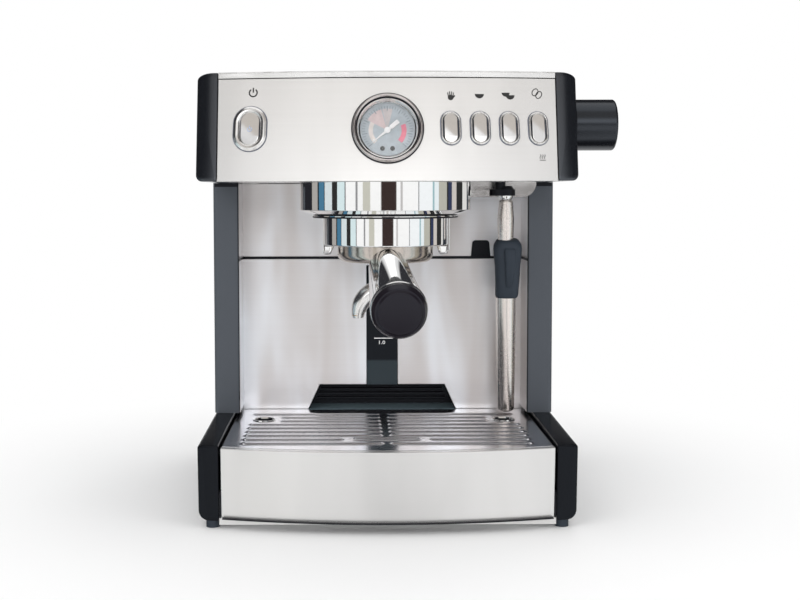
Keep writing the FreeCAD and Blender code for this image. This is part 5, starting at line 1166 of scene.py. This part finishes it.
def build_wand():
    """Upper tube swelling between ball and grip, and a grip of rounded-square sections with a thumb ridge.

    A section of half width a and half depth b is (a sgn(cos t) |cos t|^0.6, b sgn(sin t) |sin t|^0.6)."""
    ball = np.array(JOINTS["wand_tilt"]["pos_m"]) / MM
    low, high = box_mm("wand_grip")
    axes = outward_axes(ball - (low + high) / 2)
    profile = rounded([(3.2, 4.6), (6.0, 5.6, 0.8), (6.4, 10.0, 3.0), (7.5, 22.0, 14.0), (7.2, 33.0, 20.0),
                       (6.7, 44.0, 2.0), (6.0, 60.0)], 6)
    piece("wand_barrel", [turned(profile, ball, axes, 64)], "Wand steel", "steam_wand", ["wand_tube"])
    turn = np.linspace(0, 2 * np.pi, 48, endpoint=False)
    round_x = np.sign(np.cos(turn)) * np.abs(np.cos(turn)) ** 0.6
    round_y = np.sign(np.sin(turn)) * np.abs(np.sin(turn)) ** 0.6

    def loft(stations):
        """Closed skin through stations (along, half width, half depth, shift sideways, shift forward)."""
        rings = [np.stack([shift + a * round_x, ahead + b * round_y, 0 * turn + z], axis=1)
                 for z, a, b, shift, ahead in stations]
        rings = [rings[0].mean(0) + 0 * rings[0]] + rings + [rings[-1].mean(0) + 0 * rings[-1]]
        return grid(to_frame(np.array(rings), ball, axes), wrap_v=True)

    grip = loft([
        (40.7, 8.6, 8.0, -1.6, 0), (41.6, 10.0, 9.2, -1.6, 0), (45.5, 12.4, 10.6, -1.7, 0),
        (49.0, 12.8, 11.0, -1.7, 0), (55.0, 12.6, 11.2, -1.7, 0), (66.0, 11.4, 11.0, -1.8, 0),
        (80.0, 10.8, 10.8, -1.6, 0), (91.0, 10.5, 10.6, -1.2, 0), (92.8, 10.0, 10.0, -1.1, 0),
        (93.4, 9.6, 9.4, -1.0, 0)])
    ridge = loft([
        (47.0, 4.0, 1.5, -3.6, -10.0), (49.0, 5.4, 2.4, -4.0, -10.6), (58.0, 5.0, 2.8, -4.2, -11.2),
        (70.0, 3.8, 2.4, -3.8, -11.0), (80.0, 3.0, 1.8, -3.2, -10.6), (83.0, 1.8, 1.2, -3.0, -10.2)])
    piece("wand_grip_skin", [grip, ridge], "Soft rubber", "steam_wand", ["wand_grip"], sharp=50.0)


class ESPRESSO_OT_tray(bpy.types.Operator):
    """Drip tray front and ribbed grid"""
    bl_idname = "espresso.tray"
    bl_label = "Drip tray"

    def execute(self, context):
        softened("tray_front", 0.7, "Brushed tray steel", "drip_tray")
        build_tray_shade_line()
        build_grid()
        return {"FINISHED"}


def bowed(x, half, front):
    """Line of a bowed front: an arc through front in the middle that falls back by TRAY_BOW at x = half."""
    radius = (half ** 2 + TRAY_BOW ** 2) / (2 * TRAY_BOW)
    return front + radius - np.sqrt(radius ** 2 - x ** 2)


def build_tray_shade_line():
    """Painted shade under the tray front: a thin black strip along its bow, in the shadowed gap to the base
    pan.
    """
    low, high = box_mm("tray_front")
    half = high[0] - MIDDLE_X - 1.0
    x = np.linspace(-half, half, 61)
    y = bowed(x, half, low[1] + 1.0)
    section = np.array([[3.0, 0.3], [0.0, 0.3], [0.0, -0.9], [3.0, -0.9]])
    points = np.stack([np.stack([x + MIDDLE_X, y + dy, 0 * x + low[2] + dz], axis=1) for dy, dz in section])
    # Black strip painting the shadow in the gap under the tray front.
    piece("tray_line", [grid(points)], "Black plastic", "drip_tray",
          facing=(0, -1, -0.2))


def build_grid():
    """Pressed grid over the tray, open at two finger holes, with a rolled edge and short upright sides."""
    low, high = box_mm("drip_grid")
    top = low[2] + 6.0
    half = high[0] - MIDDLE_X
    hole_x = 108.5
    hole_y = high[1] - 51.0
    roll = np.array([0.0, 0.25, 0.8])
    x = np.concatenate([-half + roll, np.linspace(-half, half, 241)[1:-1], half - roll[::-1]])
    x.sort()
    front = bowed(x, half, low[1])[:, None]
    y = front + (high[1] - front) * np.linspace(0, 1, 361)
    x = x[:, None] + 0 * y
    fall = np.minimum(half - np.abs(x), y - front)
    drop = -0.9 * np.clip(1 - fall / roll[-1], 0, 1) ** 2
    height = grid_relief(x, y, half, low[1], high[1], hole_y)
    points = np.stack([x + MIDDLE_X, y, top + height + drop], axis=-1)
    aside = np.maximum(np.abs(np.abs(x) - hole_x) - 3.0, 0)
    keep = np.hypot(aside, np.maximum(np.abs(y - hole_y) - 3.0, 0)) > 7.0
    cells = keep[:-1, :-1] & keep[1:, :-1] & keep[1:, 1:] & keep[:-1, 1:]
    surfaces = [grid(points, keep=cells)]
    for line in (points[0], points[-1], points[:, 0]):
        surfaces.append(grid(np.stack([line, line - (0, 0, 5.0)])))
    piece("pressed_grid", surfaces, "Grid steel", "drip_tray", ["drip_grid"], sharp=60.0)
    build_finger_holes(top, hole_x, hole_y)


def grid_relief(x, y, half, front, rear, hole_y):
    """Height of the grid over its flat: rows of beads either side of a plain middle, and a pill emboss.

    At distance d from its line a bead is rise (1 - (d / spread)^2)^0.75 high, up to d = spread, and the
    emboss is 0.4 rise (1 + cos(pi d / 3)), up to d = 3."""
    sizes = bpy.context.scene.espresso_sizes
    first_row, row_gap, rows = 26.4, 16.0, 10
    clear = 9
    emboss_y = rear - 138.4
    height = np.zeros_like(y)
    for index in range(rows):
        row = rear - first_row - row_gap * index
        outer = 92.5 if abs(row - hole_y) < clear else 119.0
        inner = 38.0 if abs(row - emboss_y) < clear else 4.5
        if row < bowed(outer, half, front) + 6:
            continue
        for side in (-1, 1):
            past_end = np.abs(side * x - (inner + outer) / 2) - (outer - inner) / 2
            beyond = np.maximum(past_end + sizes.rib_spread * 0.4, 0)
            away = np.hypot(beyond, y - row) / sizes.rib_spread
            height = np.maximum(height, sizes.rib_rise * np.clip(1 - away ** 2, 0, 1) ** 0.75)
    away = np.hypot(np.maximum(np.abs(x) - 24.0, 0), y - emboss_y)
    ring = np.clip(np.abs(away - 4.5) / 3.0, 0, 1)
    return np.maximum(height, sizes.rib_rise * 0.4 * (1 + np.cos(np.pi * ring)))


def build_finger_holes(top, hole_x, hole_y):
    """Rolled rim of the two finger holes, pills across the grid, and black throats that paint the shade
    inside.
    """
    width, height = 21.0, 22.2
    across = np.array([[0.0, 1.0, 0.0], [-1.0, 0.0, 0.0], [0.0, 0.0, 1.0]])
    rim = rounded([(0.0, 0.0), (0.9, 0.9, 0.5), (1.9, 0.8, 0.5), (2.5, -0.6)], 6)
    # Black throat: painted shade down the inside of each hole.
    shade_throat = np.array([[2.4, -0.3], [2.6, -1.2], [2.8, -5.5]])
    for name, profile, shade, slot in (
        ("finger_hole_rims", rim, "Chrome", "polished_metal"),
        ("finger_hole_throats", shade_throat, "Black plastic", "black_plastic"),
    ):
        surfaces = [pill_loft(width, height, profile, (MIDDLE_X + side * hole_x, hole_y, top), across, 28)
                    for side in (-1, 1)]
        piece(name, surfaces, shade, "drip_tray")


class ESPRESSO_OT_buttons(bpy.types.Operator):
    """Rings, push caps and the symbols over them"""
    bl_idname = "espresso.buttons"
    bl_label = "Buttons"

    def execute(self, context):
        small_rings = []
        grooves = []
        seams = []
        for button in BUTTONS:
            place, axes = fascia_place(button + "_press")
            power = button == "power_button"
            outer, cap = (POWER_RING, POWER_CAP) if power else (SMALL_RING, SMALL_CAP)
            ring = ring_surface(outer, cap, place, axes)
            groove = groove_surface(cap, place, axes)
            seams.append(seam_surface(outer, place, axes))
            if power:
                piece("power_ring_band", [ring], "Satin ring", "chassis", ["power_ring"])
                draw_light(place, axes)
            else:
                small_rings.append(ring)
            grooves.append(groove)
            piece(button + "_cap", [cap_surface(cap, place, axes)], "Button metal", button, [button])
            draw_symbol(button, place, axes)
        piece("button_ring_bands", small_rings, "Satin ring", "chassis", ["button_rings"])
        # Grooves and seams in the dark seam colour paint the shade lines round rings and caps.
        piece("button_grooves", grooves, "Seam line", "chassis")
        piece("button_seams", seams, "Seam line", "chassis")
        return {"FINISHED"}


def ring_surface(outer, cap, place, axes):
    """Band round a push cap: steep outside, a broad rounded shoulder, and a fall to the groove."""
    width, height = outer
    band = (width - cap[0]) / 2 - 0.7
    rise = bpy.context.scene.espresso_sizes.ring_rise
    profile = rounded([
        (0.45, -1.0), (0.45, rise * 0.5, 0.3), (band * 0.45, rise, band * 0.3),
        (band * 0.8, rise * 0.85, band * 0.2), (band, rise * 0.3, 0.25), (band, -1.0)], 6)
    return pill_loft(width, height, profile, place, axes, 32)


def seam_surface(outer, place, axes):
    """Thin dark ring between a ring and the fascia, a painted shadow line along the ring's outer edge."""
    width, height = outer
    profile = np.array([[-0.25, -0.6], [-0.2, 0.12], [0.2, 0.2], [0.6, 0.12], [0.6, -0.6]])
    return pill_loft(width, height, profile, place, axes, 32)


def groove_surface(cap, place, axes):
    """Floor and wall of the gap between ring and cap, dark to paint the shade that falls in it."""
    width, height = cap
    profile = np.array([[-1.0, -1.2], [-1.0, 0.35], [-0.9, 0.4], [-0.45, 0.4], [-0.4, 0.3], [-0.4, -1.2]])
    return pill_loft(width, height, profile, place, axes, 32)


def cap_surface(size, place, axes):
    """Push cap: rounded rim, and a face that bulges as a cylinder lying on the slant, height
    crown (1 - d^2) for the distance d across the slant in half heights."""
    width, height = size
    sizes = bpy.context.scene.espresso_sizes
    rise = sizes.cap_rise
    rim = rounded([(0.0, -2.0), (0.0, rise, 0.6), (width * 0.2, rise)], 6)
    inward = np.linspace(width * 0.2, width / 2, 6)[1:]
    profile = np.concatenate([rim, np.stack([inward, np.full(len(inward), rise)], axis=1)])
    vertices, quads = pill_loft(width, height, profile, (0, 0, 0), np.eye(3), 32)
    across = across_slant(vertices, height)
    lift = np.where(vertices[:, 2] > rise * 0.5, sizes.cap_crown * (1 - across ** 2), 0.0)
    vertices = vertices + np.stack([0 * lift, 0 * lift, lift - sizes.cap_crown * 0.3], axis=1)
    return to_frame(vertices, place, axes), quads


def across_slant(points, height):
    """Distance of points across a cap's slant, in half heights of the cap."""
    return (points[..., 0] * CAP_SLANT[0] + points[..., 1] * CAP_SLANT[1]) / (height / 2)


def bowl(x, y, width):
    """Half disc with its flat side up."""
    return fan(np.concatenate([arc_path(width / 2, 180, 360, (x, y), 16), [[x + width / 2, y]]]))


def power_sign(x, y, radius, foot, top, width, steps):
    """Open ring about (x, y), and a bar over its middle from foot to top above it."""
    return [ribbon(arc_path(radius, 125, 415, (x, y), steps), width),
            ribbon([(x, y + foot), (x, y + top)], width)]


def steam_shapes():
    """Three short waves over a line, below a button."""
    t = np.linspace(0, 1, 14)
    waves = [np.stack([x + 0.5 * np.sin(2 * np.pi * t), -21.6 - 3.4 * t], axis=1) for x in (0.4, 2.2, 4.0)]
    return [ribbon(wave, 0.55) for wave in waves] + [ribbon([(-0.4, -26.2), (4.8, -26.2)], 0.6)]


def draw_symbol(button, place, axes):
    """Black pictogram above a button, laid on the fascia, and the steam sign below the last one."""
    shapes = {
        "power_button": power_sign(1.4, 30.2, 3.2, 0.2, 4.2, 1.15, 32),
        "manual_button": hand_shapes(0.6, 26.6),
        "single_button": [bowl(0.4, 28.4, 7.4)],
        "double_button": [bowl(-1.6, 29.6, 6.6), bowl(2.0, 27.6, 7.4)],
        "hot_water_button": [ribbon(bean_outline(-0.8, 30.2), 0.75), ribbon(bean_outline(2.2, 28.0), 0.75)],
    }[button]
    signs = {button.replace("button", "symbol"): shapes}
    if button == "hot_water_button":
        signs["steam_symbol"] = steam_shapes()

    def lay(points, rise):
        """Flat points about the button, on the fascia."""
        flat = points[..., :1] * axes[0] + points[..., 1:2] * axes[1]
        return fascia_point(place[0] - MIDDLE_X + flat[..., 0], place[2] + flat[..., 2]) + axes[2] * rise

    rise = bpy.context.scene.espresso_sizes.print_rise
    for name, shapes in signs.items():
        printed(name, shapes, "Dark print", "chassis", lay, rise, axes[2])


def draw_light(place, axes):
    """Small power sign on the push cap."""
    sizes = bpy.context.scene.espresso_sizes

    def lay(points, rise):
        """Flat points about the cap's middle, on its bulging face."""
        across = across_slant(points, POWER_CAP[1])[..., None]
        lift = sizes.cap_rise + sizes.cap_crown * (0.7 - across ** 2) + rise
        return to_frame(np.concatenate([points, lift], axis=-1), place, axes)

    printed("power_sign", power_sign(0.0, -0.6, 1.7, 0.4, 3.0, 0.6, 24), "Blue print", "power_button",
            lay, 0.06, axes[2])


def hand_shapes(x, y):
    """Raised hand: a round palm, four fingers and a thumb."""
    shapes = [fan(arc_path(2.3, 0, 345, (x, y - 1.2), 24))]
    for offset, length, lean in ((-1.8, 3.0, -0.5), (-0.6, 3.9, -0.2), (0.7, 3.9, 0.15), (1.9, 3.0, 0.5)):
        shapes.append(ribbon([(x + offset, y - 0.6), (x + offset + lean, y + length)], 0.8))
    shapes.append(ribbon([(x + 1.2, y - 2.0), (x + 3.5, y + 0.5)], 1.1))
    return shapes


def bean_outline(x, y):
    """Slanting oval."""
    turn = np.linspace(0, 2 * np.pi, 40)
    oval = np.stack([2.2 * np.cos(turn), 3.2 * np.sin(turn)], axis=1)
    return oval @ rotation(math.radians(-35))[:2, :2] + (x, y)


class ESPRESSO_OT_gauge(bpy.types.Operator):
    """Pressure gauge: bezel, dial with its zones and marks, needle and glass"""
    bl_idname = "espresso.gauge"
    bl_label = "Gauge"

    def execute(self, context):
        axes = outward_axes(GAUGE_IN)
        build_bezel(GAUGE_AT, axes)
        build_dial(GAUGE_AT, axes)
        build_needle(GAUGE_AT, axes)
        glass = rounded([(0.0, -1.9), (22.0, -1.9), (24.2, -2.3), (24.2, -3.4), (0.0, -3.4)], 2)
        surface = turned(glass, GAUGE_AT, axes, 96)
        piece("gauge_pane", [surface], "Gauge glass", "chassis", ["gauge_glass"])
        return {"FINISHED"}


def build_bezel(place, axes):
    """Rings of the gauge from outside in: seal, broad satin band, dark step and bright inner ring."""
    outer = 28.4
    rise = bpy.context.scene.espresso_sizes.bezel_rise
    seal = rounded([(outer - 1, -0.4), (outer + 0.8, -0.4), (outer + 0.8, 0.8, 0.3), (outer - 0.1, 1.2, 0.3),
                    (outer - 1, 1.2)], 4)
    band = rounded([
        (outer - 3, -0.4), (outer - 0.1, -0.4), (outer - 0.1, rise * 0.5, 0.5), (outer - 1.2, rise, 0.8),
        (outer - 2.6, rise * 0.8, 0.5), (outer - 3.0, 0.2), (outer - 3.0, -6.0)], 6)
    step = rounded([(outer - 2.9, rise * 0.45), (outer - 3.7, rise * 0.4, 0.2), (outer - 3.8, -6.0)], 4)
    bright = rounded([(outer - 3.6, rise * 0.3), (outer - 4.4, rise * 0.4, 0.3), (outer - 5.6, -1.9, 0.4),
                      (outer - 6.3, -2.2, 0.2), (outer - 6.4, -6.8)], 5)
    for name, profile, shade, stands_for, slot in (
        ("gauge_seal", seal, "Black plastic", (), "black_plastic"),
        ("gauge_band", band, "Dial rim", ["gauge_case"], None),
        ("gauge_step", step, "Black plastic", (), "black_plastic"),
        ("gauge_inner_ring", bright, "Button metal", (), "polished_metal"),
    ):
        piece(name, [turned(profile, place, axes)], shade, "chassis", stands_for)


def build_dial(place, axes):
    """Grey dial with tick marks, coloured zones and two screws."""
    dial_in = 7.0
    edge = 23.3
    disc = rounded([(0.0, -dial_in), (edge, -dial_in, 0.3), (edge, -dial_in - 0.8), (0.0, -dial_in - 0.8)], 2)
    piece("gauge_face", [turned(disc, place, axes, 96)], "Dial print", "chassis", ["gauge_dial"])

    def lay(points, rise):
        """Flat points about the dial's middle, on the dial."""
        flat = np.concatenate([points, np.full(points.shape[:-1] + (1,), rise - dial_in)], axis=-1)
        return to_frame(flat, place, axes)

    ticks = []
    for index in range(41):
        long = index % 5 == 0
        path = np.array([[16.2 if long else 17.8, 0.0], [20.2, 0.0]])
        path = path @ rotation(math.radians(222 - index * 6.6))[:2, :2]
        ticks.append(ribbon(path, 0.6 if long else 0.42))
    rose = np.concatenate([arc_path(18.0, 106, 152), [[0.0, 0.0]]])
    umber = np.concatenate([arc_path(18.0, 76, 103), [[0.0, 0.0]]])
    for name, shapes, ink, rise in (
        ("gauge_ticks", ticks, "Grey print", 0.03),
        ("gauge_red_zone", [ribbon(arc_path(13.3, -42, 21, steps=30), 4.0)], "Red print", 0.05),
        ("gauge_cream_zone", [ribbon(arc_path(13.3, 152, 226, steps=30), 3.6)], "Cream print", 0.05),
        ("gauge_rose_fan", [fan(rose)], "Rose print", 0.02),
        ("gauge_umber_fan", [fan(umber)], "Umber print", 0.02),
    ):
        printed(name, shapes, ink, "chassis", lay, rise, axes[2])
    head = rounded([(1.9, -0.1), (1.9, 0.5, 0.25), (1.0, 0.7, 0.2), (0.0, 0.7)], 3)
    screws = [turned(head, to_frame((x, -14.8, -dial_in), place, axes), axes, 32) for x in (-4.0, 4.0)]
    piece("gauge_screws", screws, "Dark print", "chassis")


def build_needle(place, axes):
    """White needle: a fine point with a cross bar, a hub and a broad counterweight."""
    needle_axes = rotation(math.radians(220)) @ axes
    blade = np.array([[17.0, 0.0], [15.2, 0.35], [12.0, 0.5], [3.0, 1.0], [-3.0, 1.1], [-4.0, 1.9],
                      [-11.0, 1.9], [-11.5, 1.6]])
    cross = np.array([[13.9, 1.7], [13.2, 1.7]])
    level = np.array([-6.1, -5.5, -5.5, -6.1])
    surfaces = []
    for outline in (blade, cross):
        ring = np.stack([outline, outline * (1, 0.7), outline * (1, -0.7), outline * (1, -1)], axis=1)
        points = np.concatenate([ring, np.broadcast_to(level[None, :, None], ring.shape[:2] + (1,))], axis=-1)
        capped = np.concatenate([points[:1] * (1, 0, 1), points, points[-1:] * (1, 0, 1)])
        surfaces.append(grid(to_frame(capped, place, needle_axes), wrap_v=True))
    hub = rounded([(0.8, -6.8), (2.6, -6.0), (2.6, -5.0, 0.4), (0.0, -4.8)], 4)
    surfaces.append(turned(hub, place, axes, 48))
    piece("needle_blade", surfaces, "White print", "gauge_needle", ["gauge_needle"])


class ESPRESSO_PT_panel(bpy.types.Panel):
    """Lists the steps and the values in the sidebar"""
    bl_label = "Espresso Machine"
    bl_idname = "ESPRESSO_PT_panel"
    bl_space_type = "VIEW_3D"
    bl_region_type = "UI"
    bl_category = "Espresso"

    def draw(self, context):
        column = self.layout.column()
        for step in STEPS:
            column.operator(step.bl_idname)
        for values in (context.scene.espresso_sizes, context.scene.espresso_colours):
            for key in values.__annotations__:
                column.prop(values, key)


STEPS = (ESPRESSO_OT_stage, ESPRESSO_OT_casing, ESPRESSO_OT_buttons, ESPRESSO_OT_gauge, ESPRESSO_OT_group,
         ESPRESSO_OT_steam, ESPRESSO_OT_tray)
CLASSES = (MachineColours, MachineSizes) + STEPS + (ESPRESSO_PT_panel,)


def register():
    for item in CLASSES:
        bpy.utils.register_class(item)
    bpy.types.Scene.espresso_colours = bpy.props.PointerProperty(type=MachineColours)
    bpy.types.Scene.espresso_sizes = bpy.props.PointerProperty(type=MachineSizes)


def unregister():
    del bpy.types.Scene.espresso_sizes
    del bpy.types.Scene.espresso_colours
    for item in reversed(CLASSES):
        bpy.utils.unregister_class(item)


def main():
    """Registers the add-on and builds everything."""
    register()
    for step in STEPS:
        getattr(bpy.ops.espresso, step.bl_idname.split(".")[1])()


if __name__ == "__main__":
    main()
